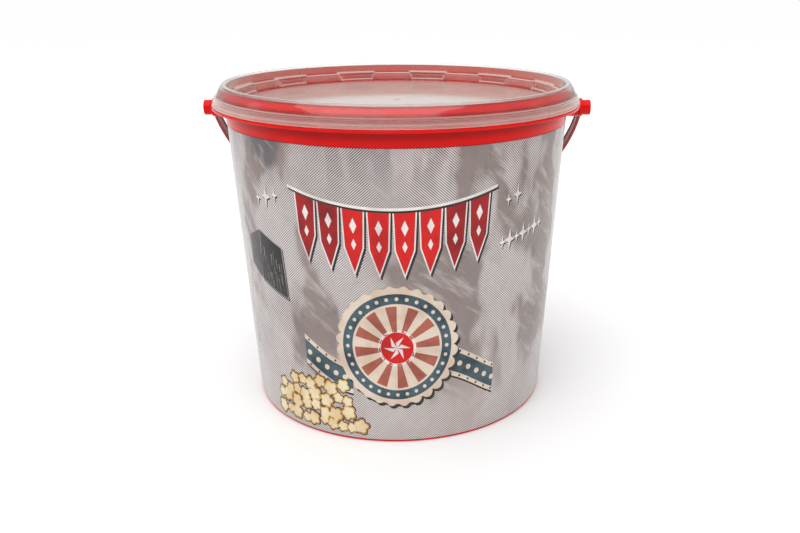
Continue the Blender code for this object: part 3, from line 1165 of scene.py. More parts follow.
@dataclass
class FairPrint:
    """The sleeve's design, a fair's bunting over a striped rosette, drawn on the front and back."""

    wall: Wall
    seed: int = 11
    pennants: int = 8
    pennant_pitch: float = 14.2
    pennant_width: float = 11.8
    pennant_drop: float = 37.0
    cord_height: float = 151.0
    cord_sag: float = 8.0
    rosette_centre: Point = (2.0, 62.0)
    rosette_radius: float = 33.0
    stripes: int = 24
    rim_width: float = 1.6
    rim_depth: float = 3.0
    rim_lobes: int = 28
    beads: int = 32
    strokes: int = 40

    def cord(self, along: float) -> float:
        """Return the bunting cord's height."""
        half = self.pennants * self.pennant_pitch / 2
        return self.cord_height - self.cord_sag * (1 - (along / half) ** 2)

    def bunting(self, sheet: PrintSheet, middle: float) -> None:
        """Draw a swag of banners, bright in the middle and darker outwards.

        Args:
            sheet: The sheet that it is drawn on.
            middle: The arc to the middle of this side of the pail.
        """
        half = self.pennants * self.pennant_pitch / 2
        steps = 36
        for index in range(self.pennants):
            along = (index - (self.pennants - 1) / 2) * self.pennant_pitch
            left, right = along - self.pennant_width / 2, along + self.pennant_width / 2
            shoulder = self.cord(along) - 0.62 * self.pennant_drop
            outline = [(left, self.cord(left)), (left + 0.9, shoulder),
                       (along, self.cord(along) - self.pennant_drop), (right - 0.9, shoulder),
                       (right, self.cord(right))]
            outline = shifted(outline, (middle, 0))
            outer = abs(index - (self.pennants - 1) / 2) > 2
            sheet.framed(outline, Ink.WINE if outer else Ink.RED, 0.8, (1.1, -1.3))
            for drop, reach in ((10.5, 4.4), (21.0, 3.2)):
                crest = self.cord(along) - drop
                gem = [(along + middle - reach / 2.2, crest), (along + middle, crest - reach),
                       (along + middle + reach / 2.2, crest), (along + middle, crest + reach)]
                sheet.add(gem, Ink.WHITE, Layer.DETAIL)
        for step in range(steps):
            start = -half - 4 + (2 * half + 8) * step / steps
            end = start + (2 * half + 8) / steps
            strip = [(start, self.cord(start) - 0.7), (end, self.cord(end) - 0.7),
                     (end, self.cord(end) + 0.9), (start, self.cord(start) + 0.9)]
            strip = shifted(strip, (middle, 0))
            sheet.add(shifted(strip, (0.8, -1.2)), Ink.SHADE, Layer.DETAIL)
            sheet.add(strip, Ink.WHITE, Layer.TOP)

    def rosette(self, sheet: PrintSheet, middle: float) -> None:
        """Draw the rosette: a scalloped edge, a beaded band, awning stripes and a hub.

        Args:
            sheet: The sheet that it is drawn on.
            middle: The arc to the middle of this side of the pail.
        """
        centre = (self.rosette_centre[0] + middle, self.rosette_centre[1])
        radius = self.rosette_radius
        rim = scallop(centre, radius + self.rim_width, self.rim_depth, self.rim_lobes)
        sheet.add(shifted(rim, (1.4, -1.8)), Ink.SHADE, Layer.SHADE)
        sheet.add(rim, Ink.CREAM, Layer.EDGE)
        sheet.add(disc(centre, radius, 72), Ink.TEAL, Layer.FIELD)
        for angle in even_angles(self.beads):
            spot = (centre[0] + (radius - 3.0) * math.cos(angle),
                    centre[1] + (radius - 3.0) * math.sin(angle))
            sheet.add(disc(spot, 1.15, 12), Ink.CREAM, Layer.DETAIL)
        sheet.add(disc(centre, radius - 6.0, 60), Ink.CREAM, Layer.DETAIL)
        for index in range(self.stripes // 2):
            start = 720 * index / self.stripes
            stripe = wedge(centre, 10.0, radius - 7.4, start, start + 360 / self.stripes)
            sheet.add(stripe, Ink.CLAY, Layer.TOP)
        sheet.add(disc(centre, 11.4, 40), Ink.WHITE, Layer.TOP)

    def hub(self, sheet: PrintSheet, middle: float) -> None:
        """Draw the rosette's hub: a red boss with a pinwheel.

        Args:
            sheet: The sheet that it is drawn on.
            middle: The arc to the middle of this side of the pail.
        """
        centre = (self.rosette_centre[0] + middle, self.rosette_centre[1])
        sheet.add(disc(centre, 9.8, 40), Ink.RED, Layer.SHADE)
        for angle in even_angles(6):
            tip = (centre[0] + 7.8 * math.cos(angle), centre[1] + 7.8 * math.sin(angle))
            swept = angle + 0.75
            side = (centre[0] + 3.4 * math.cos(swept), centre[1] + 3.4 * math.sin(swept))
            sheet.add([centre, tip, side], Ink.WHITE, Layer.EDGE)

    def ribbon(self, sheet: PrintSheet, middle: float) -> None:
        """Draw the waving teal ribbon that runs behind the rosette.

        Args:
            sheet: The sheet that it is drawn on.
            middle: The arc to the middle of this side of the pail.
        """
        def line(along: float) -> float:
            """Return the height of the ribbon's middle."""
            return 47.0 + 9.0 * math.sin(along / 17.0) - along * 0.10
        start, end, steps = -58.0, 66.0, 62
        for step in range(steps):
            left = start + (end - start) * step / steps
            right = start + (end - start) * (step + 1) / steps
            if abs((left + right) / 2 - self.rosette_centre[0]) < self.rosette_radius - 4:
                continue
            for low, high, ink, layer in ((-10.6, 8.6, Ink.SHADE, Layer.SHADE),
                                          (-9.4, 9.4, Ink.CREAM, Layer.EDGE),
                                          (-6.4, 6.4, Ink.TEAL, Layer.FIELD)):
                strip = [(left, line(left) + low), (right, line(right) + low),
                         (right, line(right) + high), (left, line(left) + high)]
                sheet.add(shifted(strip, (middle, 0)), ink, layer)
            if step % 3 == 1:
                mid = (left + right) / 2
                for up in (-7.9, 7.9):
                    gem = disc((mid + middle, line(mid) + up), 0.95, 4)
                    sheet.add(gem, Ink.TEAL, Layer.DETAIL)
                sheet.add(disc((mid + middle, line(mid)), 1.7, 14), Ink.CREAM, Layer.DETAIL)

    def kite(self, sheet: PrintSheet, along: float, up: float) -> None:
        """Draw a charcoal kite with a folded side, scratched with pale strokes.

        Args:
            sheet: The sheet that it is drawn on.
            along: Its place along the sleeve.
            up: Its height.
        """
        chance = random.Random(self.seed + int(along))
        face = [(along - 9, up - 13), (along + 15, up - 20), (along + 13, up + 10),
                (along - 7, up + 17)]
        side = [(along - 22, up - 6), (along - 9, up - 13), (along - 7, up + 17),
                (along - 21, up + 11)]
        sheet.add(shifted(grown(face, 0.5), (0.9, -1.1)), Ink.SHADE, Layer.SHADE)
        sheet.add(grown(side, 0.4), Ink.ASH, Layer.EDGE)
        sheet.add(grown(face, 0.6), Ink.CHALK, Layer.EDGE)
        sheet.add(face, Ink.COAL, Layer.FIELD)
        for step in range(self.strokes):
            share, drift = (step + 0.5) / self.strokes, chance.uniform(0, 1)
            left = along - 7 + 19.5 * share + chance.uniform(-0.6, 0.6)
            low = up - 14.5 - 6 * share + 22 * drift * 0.9
            long, thick = chance.uniform(2, 9), chance.uniform(0.12, 0.36)
            top = min(low + long, up + 15 - 6 * share)
            sheet.add([(left, low), (left + thick, low), (left + thick - 0.2, top),
                       (left - 0.2, top)], Ink.CHALK if step % 3 else Ink.ASH, Layer.DETAIL)

    def puffs(self, sheet: PrintSheet, start: float, end: float, peak: float) -> None:
        """Draw a bank of cream puffs along the foot, outlined in gold.

        Args:
            sheet: The sheet that it is drawn on.
            start: Where it starts.
            end: Where it ends.
            peak: The top row's height.
        """
        chance = random.Random(self.seed + int(start))
        rows = 4
        for row in range(rows):
            up = peak - 8.5 * row
            along = start + chance.uniform(0, 5) + 9.0 * abs(1.5 - row) * (row < 2)
            while along < end - 9.0 * (rows - 1 - row) * 0.4:
                size = chance.uniform(3.4, 5.2)
                spot = (along, max(up + chance.uniform(-2.2, 2.2), size + 4.5))
                turn = chance.uniform(0, 90)
                for grow, ink, layer in ((1.15, Ink.SHADE, Layer.SHADE),
                                         (1.0, Ink.GOLD, Layer.EDGE),
                                         (0.80, Ink.PUFF, Layer.FIELD)):
                    lobes = scallop(spot, size * grow * 0.72, size * grow * 0.34, 5)
                    sheet.add(spun(lobes, spot, turn), ink, layer)
                along += size * 1.75

    def sparks(self, sheet: PrintSheet, start: Point, end: Point, count: int, size: float) -> None:
        """Draw a row of white four-pointed sparks with shadows, large and small in turn.

        Args:
            sheet: The sheet that it is drawn on.
            start: The row's start, (along, up).
            end: The row's end, (along, up).
            count: How many there are.
            size: The reach of the larger ones.
        """
        for index in range(count):
            share = (index + 0.5) / count
            reach = size * (1.0 if index % 2 else 0.62)
            centre = (start[0] + (end[0] - start[0]) * share,
                      start[1] + (end[1] - start[1]) * share)
            outline = []
            for step, angle in enumerate(even_angles(8)):
                away = reach * (0.32 if step % 2 else 1.0)
                outline.append((centre[0] + 0.62 * away * math.cos(angle),
                                centre[1] + away * math.sin(angle)))
            sheet.add(shifted(outline, (0.7, -0.8)), Ink.SHADE, Layer.SHADE)
            sheet.add(outline, Ink.WHITE, Layer.EDGE)

    def build(self) -> list[bpy.types.Object]:
        """Make the printed pieces.

        Returns:
            The pieces.
        """
        materials = {ink: PrintInk(ink).make() for ink in Ink}
        half_turn = math.pi * self.wall.top_radius
        lifts = {"bunting": 0.0, "rosette": 0.10, "rosette_hub": 0.26, "ribbon": 0.0, "kite": 0.0,
                 "puffs": 0.10, "sparks": 0.0}
        sheets = {name: PrintSheet(f"print_{name}", self.wall, materials, lift)
                  for name, lift in lifts.items()}
        for middle in (0.0, half_turn):
            self.ribbon(sheets["ribbon"], middle)
            self.rosette(sheets["rosette"], middle)
            self.hub(sheets["rosette_hub"], middle)
            self.bunting(sheets["bunting"], middle)
            self.kite(sheets["kite"], middle - 84.0, 104.0)
            self.puffs(sheets["puffs"], middle - 88.0, middle - 20.0, 34.0)
            self.sparks(sheets["sparks"], (middle + 64, 118), (middle + 104, 124), 7, 6.4)
            self.sparks(sheets["sparks"], (middle - 92, 140), (middle - 68, 146), 3, 6.4)
            self.sparks(sheets["sparks"], (middle + 66, 142), (middle + 80, 146), 2, 5.6)
        return [sheet.build() for sheet in sheets.values()]


# ---------------------------------------------------------------------------------------------
# The lid


@dataclass
class Lid:
    """The frosted lid: sunken panel, plug wall with ledge and lugs, crown and clip skirt."""

    finish: FrostedPlastic
    top: float = field(default_factory=lambda: cad_top("lid"))
    skirt_radius: float = field(default_factory=lambda: cad_radius("lid"))
    panel: float = 186.0
    skin: float = 1.1
    ledge: float = 191.5
    skirt_bottom: float = 186.5
    groove: float = 191.1
    lugs: int = 12
    lug_offset: float = -4.2
    lug_span: float = 15.7
    lug_ramp: float = 0.9
    lug_slant: float = 1.3
    lug_columns: int = 10
    lug_top: float = 192.6
    lug_face: float = 97.6
    lug_foot: float = 188.0
    lug_foot_radius: float = 96.2
    columns: int = 288

    def outline(self, lug: bool) -> list[Point]:
        """Return the turned outline, through a lug or between lugs.

        Args:
            lug: Whether it cuts through a lug.

        Returns:
            The rounded outline.
        """
        panel, ledge, skin = self.panel, self.ledge, self.skin
        if lug:
            wall = [(self.lug_foot_radius, panel, 0.5), (self.lug_foot_radius, self.lug_foot, 0.35),
                    (self.lug_face, self.lug_foot, 0.35), (self.lug_face, self.lug_top, 0.4),
                    (101.6, self.lug_top, 0.3), (101.65, 193.7)]
        else:
            wall = [(99.8, panel, 0.9), (99.9, 187.8, 0.3), (99.98, 189.4, 0.3),
                    (100.2, ledge, 0.4), (101.5, ledge, 0.3), (101.6, 193.0)]
        corners = [Corner(0.0, panel + 0.5), Corner(1.2, panel + 0.5, 0.3), Corner(2.0, panel, 0.3)]
        corners += [Corner(ring, panel) for ring in (20.0, 40.0, 60.0, 80.0, 90.0)]
        corners += [Corner(*place) for place in wall]
        corners += [
            Corner(101.8, 197.6, 0.9),
            Corner(103.1, self.top, 0.6),
            Corner(105.1, self.top, 0.7),
            Corner(105.95, 197.35, 0.25),
            Corner(105.8, 197.0, 0.15),
            Corner(106.35, 196.8, 0.2),
            Corner(107.5, 195.2, 0.8),
            Corner(109.4, self.groove + 0.5, 0.35),
            Corner(109.2, self.groove, 0.15),
            Corner(110.2, self.groove - 0.4, 0.3),
            Corner(110.6, 189.0, 0.3),
            Corner(111.1, 188.6, 0.2),
            Corner(111.1, 188.2, 0.2),
            Corner(self.skirt_radius, 187.2, 0.3),
            Corner(self.skirt_radius, self.skirt_bottom, 0.3),
            Corner(self.skirt_radius - skin, self.skirt_bottom, 0.3),
            Corner(109.5, 189.8, 0.4),
            Corner(106.8, self.groove - 0.2, 0.5),
            Corner(108.1, 191.9, 0.4),
            Corner(106.3, 195.2, 0.6),
            Corner(104.6, self.top - skin, 0.5),
            Corner(103.2, self.top - skin, 0.3),
            Corner(102.9, 196.7, 0.3),
            Corner(102.6, ledge - skin, 0.4),
            Corner(101.1, ledge - skin - 0.5, 0.3),
            Corner(100.8, panel - 0.2, 0.5),
            Corner(99.3, panel - skin, 0.5),
        ]
        corners += [Corner(ring, panel - skin) for ring in (90.0, 60.0, 30.0, 0.0)]
        return eased(corners)

    def lug_angles(self) -> list[float]:
        """Return the middle of each lug, in degrees."""
        return [90 - (self.lug_offset + 360 * (index + 0.5) / self.lugs)
                for index in range(self.lugs)]

    def lug_share(self, angle: float, height: np.ndarray) -> np.ndarray:
        """Find how far places belong to a lug, whose ends slant in towards its foot.

        Args:
            angle: The places' angle, in degrees.
            height: Their heights.

        Returns:
            1 on a lug and 0 off it, with a ramp at its ends.
        """
        near = min(abs((angle - middle + 180) % 360 - 180) for middle in self.lug_angles())
        up = np.clip((height - self.lug_foot) / (self.lug_top - self.lug_foot), 0, 1)
        half = self.lug_span / 2 - self.lug_slant * (1 - up)
        rise = np.clip((half + self.lug_ramp / 2 - near) / self.lug_ramp, 0, 1)
        return rise * rise * (3 - 2 * rise)

    def angles(self) -> list[float]:
        """Return the columns' angles, in radians: even, and closer at the lugs' ends.

        Returns:
            The angles.
        """
        found = {round(360 * step / self.columns, 4) for step in range(self.columns)}
        half_ramp = self.lug_ramp / 2
        reach = self.lug_slant / 2 + half_ramp
        for middle in self.lug_angles():
            for end in (-1, 1):
                edge = middle + end * (self.lug_span - self.lug_slant) / 2
                found = {a for a in found if abs((a - edge + 180) % 360 - 180) > reach + 0.2}
                for step in range(self.lug_columns + 1):
                    offset = reach * (2 * step / self.lug_columns - 1)
                    found.add(round((edge + offset) % 360, 4))
        return [math.radians(angle) for angle in sorted(found)]

    def frost(self, mesh: bpy.types.Mesh) -> None:
        """Mark how much more plastic the eye looks through at ledges, lug ends and the crown.

        Args:
            mesh: The mesh that takes the marks.
        """
        places = np.array([vert.co[:] for vert in mesh.vertices]) / MM
        radius = np.hypot(places[:, 0], places[:, 1])
        height = places[:, 2]
        turn = np.degrees(np.arctan2(places[:, 1], places[:, 0]))
        share = np.array([self.lug_share(angle, up) for angle, up in zip(turn, height)])
        inside = (radius < 101.7) & (radius > 95.9)
        ends = inside & (share > 0.03) & (share < 0.97) & (height > 187.2) & (height < 192.9)
        ledge = inside & (abs(height - self.ledge) < 0.35) & (radius > 99.9) & (share < 0.5)
        feet = inside & (abs(height - self.lug_foot) < 0.3) & (share > 0.5)
        tops = inside & (abs(height - self.lug_top) < 0.45) & (share > 0.5)
        crown = (height > self.top - 0.25) & (radius < 105.0)
        lip = (radius > self.skirt_radius - 2.0) & (height < self.groove - 0.2)
        marks = np.where(ends | ledge | feet | tops, 1.0, 0.0)
        line = lip & ((abs(height - 188.4) < 0.3) | (height < self.skirt_bottom + 0.2))
        groove = (abs(height - self.groove - 0.5) < 0.4) & (radius > 109.0)
        wall = (radius > 99.0) & (radius < 102.3) & (height > 187.0)
        for zone, mark in ((wall & (height > 193.0), 0.34), (wall & (height < 191.0), 0.24),
                           (crown, 0.50), (lip, 0.22), (line, 0.45), (groove, 0.6)):
            marks = np.where(zone & (marks < 1), mark, marks)
        frost = mesh.attributes.new("frost", "FLOAT", "POINT")
        frost.data.foreach_set("value", marks.astype(np.float32))

    def build(self) -> bpy.types.Object:
        """Make the lid, dress it and set it in the frame.

        Returns:
            The piece.
        """
        plain = np.array(self.outline(lug=False))
        lug = np.array(self.outline(lug=True))
        height = (plain[:, 1] + lug[:, 1]) / 2

        def outline_at(angle: float) -> np.ndarray:
            """Return the outline at an angle, part plain and part lug."""
            share = self.lug_share(math.degrees(angle), height)[:, None]
            return plain * (1 - share) + lug * share
        mesh = turned_mesh("lid", outline_at, self.angles(), closed=False)
        self.frost(mesh)
        lid = add_piece("lid_shell", mesh, [self.finish.make()], 60.0)
        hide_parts("lid")
        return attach(lid, "root")


# ---------------------------------------------------------------------------------------------
# The bail


@dataclass
class Bail:
    """The strap bail: a ribbed strap bent to a rounded loop, with an eye on each trunnion."""

    # finish dresses the strap in painted shade, the pail's red darkened to wine for the shade the
    # strap hangs in; eye_finish keeps the red.
    finish: GlossPlastic
    eye_finish: GlossPlastic
    half_width: float = 113.3
    reach: float = 143.5
    roundness: float = 2.0
    rest: float = 45.0
    strap_width: float = 6.6
    web: float = 1.2
    rib: float = 2.0
    rib_width: float = 1.2
    eye_radius: float = 5.6
    hole_radius: float = 4.5
    eye_faces: Point = (112.25, 114.35)
    strap_start: float = 4.7
    steps: int = 220

    def middle(self, turn: float) -> Vector:
        """Return the loop's centre line at a turn from 0 at one eye to pi at the other.

        Args:
            turn: The turn, in radians.

        Returns:
            The point.
        """
        power = 2 / self.roundness
        across = math.copysign(abs(math.cos(turn)) ** power, math.cos(turn))
        return Vector((self.half_width * across, self.reach * math.sin(turn) ** power, 0))

    def section(self) -> list[Point]:
        """Return the strap's section: (out from the loop, across the strap).

        Returns:
            The rounded section.
        """
        rib, web = self.rib / 2, self.web / 2
        edge, shoulder = self.strap_width / 2, self.strap_width / 2 - self.rib_width
        corners = [Corner(rib, edge, 0.35), Corner(rib, shoulder, 0.3), Corner(web, shoulder, 0.25),
                   Corner(web, -shoulder, 0.25), Corner(rib, -shoulder, 0.3),
                   Corner(rib, -edge, 0.35)]
        corners += [Corner(-c.radius, c.height, c.ease) for c in reversed(corners)]
        return eased(corners, closed=True, bends=3)

    def strap(self) -> bpy.types.Mesh:
        """Return the strap's mesh in the loop's own plane.

        Returns:
            The mesh.
        """
        first = math.asin((self.strap_start / self.reach) ** (self.roundness / 2))
        turns = [first + (math.pi - 2 * first) * (0.5 - 0.5 * math.cos(math.pi * step / self.steps))
                 for step in range(self.steps + 1)]
        points = [self.middle(turn) for turn in turns]
        shape = bmesh.new()
        rings = []
        for index, point in enumerate(points):
            ahead = points[min(index + 1, self.steps)] - points[max(index - 1, 0)]
            out = Vector((ahead.y, -ahead.x, 0)).normalized()
            rings.append([shape.verts.new((point + out * x + Vector((0, 0, y))) * MM)
                          for x, y in self.section()])
        for here, after in zip(rings, rings[1:]):
            for index in range(len(here)):
                below = (index + 1) % len(here)
                shape.faces.new((here[index], here[below], after[below], after[index]))
        shape.faces.new(rings[0])
        shape.faces.new(rings[-1])
        bmesh.ops.recalc_face_normals(shape, faces=shape.faces)
        mesh = bpy.data.meshes.new("strap")
        shape.to_mesh(mesh)
        shape.free()
        return mesh

    def eye(self, side: int) -> bpy.types.Object:
        """Return an eye's solid disc.

        Args:
            side: 1 for the +X side, -1 for the -X side.

        Returns:
            The disc.
        """
        near, far = self.eye_faces
        corners = [Corner(near, 0.0), Corner(near, self.eye_radius, 0.4),
                   Corner(far, self.eye_radius, 0.4), Corner(far, 0.0)]
        return turned_bar(f"eye_{side}", eased(corners), side, 0.0)

    def hole(self, side: int) -> bpy.types.Object:
        """Return the bar that cuts an eye's hole.

        Args:
            side: 1 for the +X side, -1 for the -X side.

        Returns:
            The bar.
        """
        near, far = self.eye_faces
        corners = [Corner(near - 2, 0.0), Corner(near - 2, self.hole_radius),
                   Corner(far + 2, self.hole_radius), Corner(far + 2, 0.0)]
        return turned_bar(f"hole_{side}", eased(corners), side, 0.0)

    def build(self) -> bpy.types.Object:
        """Make the bail, dress it, lean it on the wall and set it in the frame.

        Returns:
            The piece.
        """
        bail = add_piece("bail_strap", self.strap(), [self.finish.make(), self.eye_finish.make()])
        joined(bail, [self.eye(1), self.eye(-1)])
        joined(bail, [self.hole(1), self.hole(-1)], "DIFFERENCE")
        for face in bail.data.polygons:
            in_eye = math.hypot(face.center.y, face.center.z) < (self.eye_radius + 0.02) * MM
            face.material_index = 1 if in_eye else 0
        pivot = Matrix.Translation(Vector(frame["joints"][0]["pos_m"]))
        bail.data.transform(pivot @ Matrix.Rotation(math.radians(-self.rest), 4, "X"))
        bail.data.shade_smooth()
        bail.data.set_sharp_from_angle(angle=math.radians(35))
        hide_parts("handle")
        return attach(bail, "handle")


# ---------------------------------------------------------------------------------------------
# The popcorn


@dataclass
class Flake:
    """One kind of popped flake: lobes of foam grown out of a burst hull."""

    seed: int
    lobes: int
    size: float
    detail: int = 3

    def build(self) -> tuple[np.ndarray, list[tuple[int, ...]], np.ndarray, np.ndarray]:
        """Shape the flake.

        Returns:
            Its points in millimetres, its faces, and for each point how deep it lies in a fold
            and how much it is hull.
        """
        chance = random.Random(self.seed)
        shape = bmesh.new()
        bmesh.ops.create_icosphere(shape, subdivisions=self.detail, radius=1.0)
        rays = np.array([vert.co[:] for vert in shape.verts])
        faces = [tuple(vert.index for vert in face.verts) for face in shape.faces]
        shape.free()
        rays /= np.linalg.norm(rays, axis=1)[:, None]
        reach = np.full((self.lobes + 1, len(rays)), 0.30 * self.size)
        for lobe in range(self.lobes):
            height = 1.1 - 1.75 * (lobe + 0.5) / self.lobes + chance.uniform(-0.12, 0.12)
            turn = lobe * 2.4 + chance.uniform(-0.5, 0.5)
            flat = math.sqrt(max(0.0, 1 - min(1.0, height) ** 2))
            axis = np.array((flat * math.cos(turn), flat * math.sin(turn), min(1.0, height)))
            centre = axis * self.size * chance.uniform(0.22, 0.34)
            radius = self.size * chance.uniform(0.17, 0.25)
            along = rays @ centre
            inside = radius ** 2 - centre @ centre + along ** 2
            hit = (inside > 0) & (along > 0)
            reach[lobe + 1][hit] = along[hit] + np.sqrt(inside[hit])
            reach[lobe + 1][~hit] = 0.0
        order = np.sort(reach, axis=0)
        length = order[-1]
        ripple = sum(np.sin(rays @ np.array([chance.uniform(-9, 9) for _ in range(3)])
                            + chance.uniform(0, 6)) for _ in range(5))
        length = length * (1 + 0.022 * ripple)
        fold = np.clip(1.25 - (order[-1] - order[-2]) / (0.10 * self.size), 0, 1) ** 1.5
        fold = np.maximum(fold, np.clip(1 - length / (0.36 * self.size), 0, 1))
        husk = np.clip((-rays[:, 2] - 0.72) / 0.2, 0, 1)
        return rays * length[:, None], faces, fold, husk


@dataclass
class Popcorn:
    """The popcorn in the pail: a core with relief, and flakes heaped on it in several kinds."""

    wall: Wall
    finish: PoppedCorn
    thickness: float = 1.4
    gap: float = 0.4
    bottom: float = 3.8
    core_top: float = 160.0
    heap_top: float = field(default_factory=lambda: cad_top("popcorn"))
    kinds: int = 5
    layers: tuple[tuple[float, int], ...] = ((162.0, 105), (166.5, 85), (169.5, 45))
    seed: int = 5

    def inner(self, height: float) -> float:
        """Return the heap's radius at a height."""
        return self.wall.pail(height) - self.thickness - self.gap

    def core(self, material: bpy.types.Material) -> bpy.types.Object:
        """Make the core, out to the wall and up to just under the loose flakes.

        Args:
            material: The material that dresses it.

        Returns:
            The core.
        """
        corners = [Corner(0.0, self.core_top)]
        corners += [Corner(step * 2.4, self.core_top) for step in range(1, 40)]
        corners += [
            Corner(self.inner(self.core_top), self.core_top - 1.5, 1.0),
            Corner(self.inner(self.core_top / 2), self.core_top / 2),
            Corner(self.inner(self.bottom), self.bottom, 1.8),
            Corner(40.0, self.bottom),
            Corner(0.0, self.bottom),
        ]
        outline = eased(corners)
        mesh = turned_mesh("popcorn_core", lambda angle: outline, even_angles(144), closed=False)
        chance = random.Random(self.seed)
        bumps = [(chance.uniform(-95, 95), chance.uniform(-95, 95), chance.uniform(5, 8))
                 for _ in range(420)]
        places = np.array([vert.co[:] for vert in mesh.vertices]) / MM
        raised = np.zeros(len(places))
        for x, y, radius in bumps:
            away = (places[:, 0] - x) ** 2 + (places[:, 1] - y) ** 2
            raised = np.maximum(raised, np.sqrt(np.clip(radius ** 2 - away, 0, None)))
        top = places[:, 2] > self.core_top - 0.5
        edge = np.clip((self.inner(self.core_top) - np.hypot(places[:, 0], places[:, 1])) / 4, 0, 1)
        places[:, 2] += np.where(top, (raised - 3.0) * edge, 0)
        mesh.vertices.foreach_set("co", (places * MM).astype(np.float32).ravel())
        fold = mesh.attributes.new("fold", "FLOAT", "POINT")
        fold.data.foreach_set("value", np.where(top, np.clip(1 - raised / 5, 0, 1), 0.4)
                              .astype(np.float32))
        core = add_piece("popcorn_core", mesh, [material], 80.0)
        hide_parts("popcorn")
        return core

    def places(self) -> list[tuple[float, float, float]]:
        """Return where the flakes lie: even over the round top, layer on layer.

        Returns:
            The places.
        """
        chance = random.Random(self.seed + 1)
        golden = math.pi * (3 - math.sqrt(5))
        found = []
        for height, count in self.layers:
            start = chance.uniform(0, math.tau)
            for index in range(count):
                away = (self.inner(height) - 6.0) * math.sqrt((index + 0.6) / count)
                turn = start + index * golden
                found.append((away * math.cos(turn) + chance.uniform(-3, 3),
                              away * math.sin(turn) + chance.uniform(-3, 3),
                              height + chance.uniform(-1.8, 1.8)))
        return found

    def heap(self, kind: int, material: bpy.types.Material) -> bpy.types.Object:
        """Join the flakes of one kind into a piece.

        Args:
            kind: Which kind of flake it is.
            material: The material that dresses it.

        Returns:
            The piece.
        """
        chance = random.Random(self.seed * 100 + kind)
        points, faces, fold, husk = Flake(40 + kind, 6 + kind % 3, 17.5 + 1.3 * kind).build()
        spots = self.places()[kind::self.kinds]
        all_points, all_faces = [], []
        for x, y, z in spots:
            axis = Vector([chance.gauss(0, 1) for _ in range(3)]).normalized()
            turn = np.array(Matrix.Rotation(chance.uniform(0, math.tau), 3, axis))
            size = chance.uniform(0.82, 1.1)
            placed = (points * size) @ turn.T
            placed += (x, y, z)
            over = placed[:, 2].max() - self.heap_top
            placed[:, 2] -= max(0.0, over)
            away = np.hypot(placed[:, 0], placed[:, 1]).max() - self.inner(z) + 0.6
            if away > 0:
                placed[:, :2] -= np.array((x, y)) / math.hypot(x, y) * away
            start = len(all_points) * len(points)
            all_points.append(placed)
            all_faces += [tuple(start + corner for corner in face) for face in faces]
        mesh = bpy.data.meshes.new(f"popcorn_flakes_{kind + 1}")
        mesh.from_pydata((np.concatenate(all_points) * MM).tolist(), [], all_faces)
        for name, values in (("fold", fold), ("husk", husk)):
            attribute = mesh.attributes.new(name, "FLOAT", "POINT")
            attribute.data.foreach_set("value", np.tile(values, len(spots)).astype(np.float32))
        return add_piece(f"popcorn_flakes_{kind + 1}", mesh, [material], 180.0)

    def build(self) -> list[bpy.types.Object]:
        """Make the core and the flakes, dress them and set them in the frame.

        Returns:
            The piece.
        """
        material = self.finish.make()
        made = [self.core(material)] + [self.heap(kind, material) for kind in range(self.kinds)]
        for piece in made:
            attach(piece, "root")
        return made


# ---------------------------------------------------------------------------------------------
# The studio


@dataclass(frozen=True)
class Softbox:
    """A square or oblong lamp aimed at the pail; its place and size are in metres."""

    name: str
    place: tuple[float, float, float]
    size: Point
    power: float
    shine: float = 1.0
    aim: float = 0.10

    def build(self) -> bpy.types.Object:
        """Make the lamp.

        Returns:
            The piece.
        """
        lamp = bpy.data.lights.new(self.name, "AREA")
        lamp.shape = "RECTANGLE"
        lamp.size, lamp.size_y = self.size
        lamp.energy = self.power
        lamp.specular_factor = self.shine
        box = bpy.data.objects.new(self.name, lamp)
        bpy.context.scene.collection.objects.link(box)
        box.location = self.place
        way = Vector((0, 0, self.aim)) - Vector(self.place)
        box.rotation_euler = way.to_track_quat("-Z", "Y").to_euler()
        box.visible_camera = False
        return box


@dataclass(frozen=True)
class SkyLamp:
    """A wide even lamp far away, the same over the whole floor; its angles are in degrees."""

    height: float = 70.0
    turn: float = -25.0
    softness: float = 75.0
    power: float = 2.2

    def build(self) -> bpy.types.Object:
        """Make the lamp.

        Returns:
            The piece.
        """
        lamp = bpy.data.lights.new("sky_lamp", "SUN")
        lamp.energy = self.power
        lamp.specular_factor = 0.3
        lamp.angle = math.radians(self.softness)
        sun = bpy.data.objects.new("sky_lamp", lamp)
        bpy.context.scene.collection.objects.link(sun)
        sun.rotation_euler = (math.radians(90 - self.height), 0, math.radians(self.turn))
        return sun


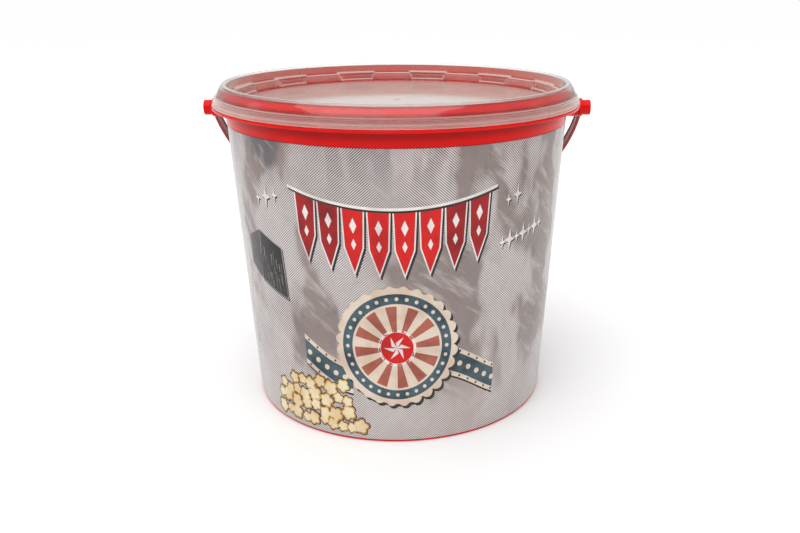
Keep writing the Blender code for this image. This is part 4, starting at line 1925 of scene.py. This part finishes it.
@dataclass
class Studio:
    """A plain pale floor, soft lamps and the camera; places are in metres."""

    floor_colour: Colour = srgb(254, 254, 254)
    floor_shade: Colour = srgb(240, 240, 240)
    floor_size: float = 40.0
    sky_colour: Colour = srgb(250, 250, 252)
    sky_power: float = 0.36
    sky_lamp: SkyLamp = SkyLamp()
    camera_place: tuple[float, float, float] = (0.0199, -0.5302, 0.2597)
    camera_pitch: float = 19.045
    camera_yaw: float = -0.04
    lens: float = 38.18
    shift: float = -0.0375
    lamps: tuple[Softbox, ...] = (
        Softbox("key", (-0.9, -1.5, 1.5), (1.3, 1.3), 3.0, 0.3),
        Softbox("fill", (1.6, -1.0, 0.9), (1.0, 1.0), 3.0, 0.5),
        Softbox("top", (0.0, 0.7, 1.7), (1.2, 1.2), 3.0),
        Softbox("backdrop", (0.0, 2.4, 1.0), (3.2, 1.3), 8.5),
        Softbox("left_strip", (-1.4, 0.25, 0.35), (0.25, 1.2), 0.6),
        Softbox("right_strip", (1.4, 0.25, 0.35), (0.20, 1.2), 0.2),
    )

    def floor(self) -> bpy.types.Object:
        """Make the floor.

        Returns:
            The floor.
        """
        shape = bmesh.new()
        bmesh.ops.create_grid(shape, x_segments=1, y_segments=1, size=self.floor_size / 2)
        mesh = bpy.data.meshes.new("floor")
        shape.to_mesh(mesh)
        shape.free()
        recipe = Recipe("floor_paper")
        tone = recipe.noise(420.0, 2)
        colour = recipe.blend(recipe.spread(tone, 0.0, 0.06), self.floor_colour, self.floor_shade)
        shader = recipe.node("ShaderNodeBsdfPrincipled", base_color=colour, roughness=0.75,
                             specular_ior_level=0.0)
        floor = add_piece("floor", mesh, [recipe.finish(shader.outputs[0])], None)
        return floor

    def sky(self) -> None:
        """Set the even light from all round."""
        world = bpy.data.worlds.new("studio")
        world.use_nodes = True
        bpy.context.scene.world = world
        back = world.node_tree.nodes["Background"]
        back.inputs["Color"].default_value = self.sky_colour
        back.inputs["Strength"].default_value = self.sky_power

    def camera(self) -> bpy.types.Object:
        """Make the camera.

        Returns:
            The camera.
        """
        data = bpy.data.cameras.new("camera")
        data.lens = self.lens
        data.sensor_width = 36.0
        data.shift_x = self.shift
        data.clip_start = 0.01
        camera = bpy.data.objects.new("camera", data)
        bpy.context.scene.collection.objects.link(camera)
        camera.location = self.camera_place
        camera.rotation_euler = (math.radians(90 - self.camera_pitch), 0,
                                 math.radians(self.camera_yaw))
        bpy.context.scene.camera = camera
        return camera

    def build(self) -> None:
        """Make the floor, the light and the camera, and set how light becomes colour."""
        self.floor()
        self.sky()
        self.sky_lamp.build()
        for lamp in self.lamps:
            lamp.build()
        self.camera()
        view = bpy.context.scene.view_settings
        view.view_transform = "Standard"
        view.look = "None"
        bpy.context.scene.cycles.transparent_max_bounces = 24


def report(piece: bpy.types.Object) -> None:
    """Log a piece's name and how many faces it has."""
    LOG.info("%s: %d faces", piece.name, len(piece.data.polygons))


def main() -> None:
    """Build the studio and the pail's pieces in order."""
    logging.basicConfig(level=logging.INFO, format="%(name)s %(message)s")
    Studio().build()
    wall = Wall()
    # The pail's red paints shade in a band on the collar just under the flange.
    red = GlossPlastic("red_pail_plastic", srgb(225, 13, 5), srgb(209, 8, 4),
                       painted_shade_tone=srgb(166, 7, 5))
    red_eye = GlossPlastic("red_eye_plastic", srgb(225, 13, 5), srgb(209, 8, 4))
    # Painted shade: the strap's wine is the pail's red darkened for the shade the strap hangs in;
    # the eyes keep the red.
    shaded_strap_red = GlossPlastic("wine_strap_plastic", srgb(168, 30, 34), srgb(140, 20, 24), gloss=0.30,
                        specular=0.3)
    report(Pail(wall, red).build())
    report(Sleeve(wall, SleeveGround()).build())
    for piece in FairPrint(wall).build():
        report(piece)
    report(Lid(FrostedPlastic()).build())
    report(Bail(shaded_strap_red, red_eye).build())
    for piece in Popcorn(wall, PoppedCorn()).build():
        report(piece)
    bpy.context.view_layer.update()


if __name__ == "__main__":
    main()
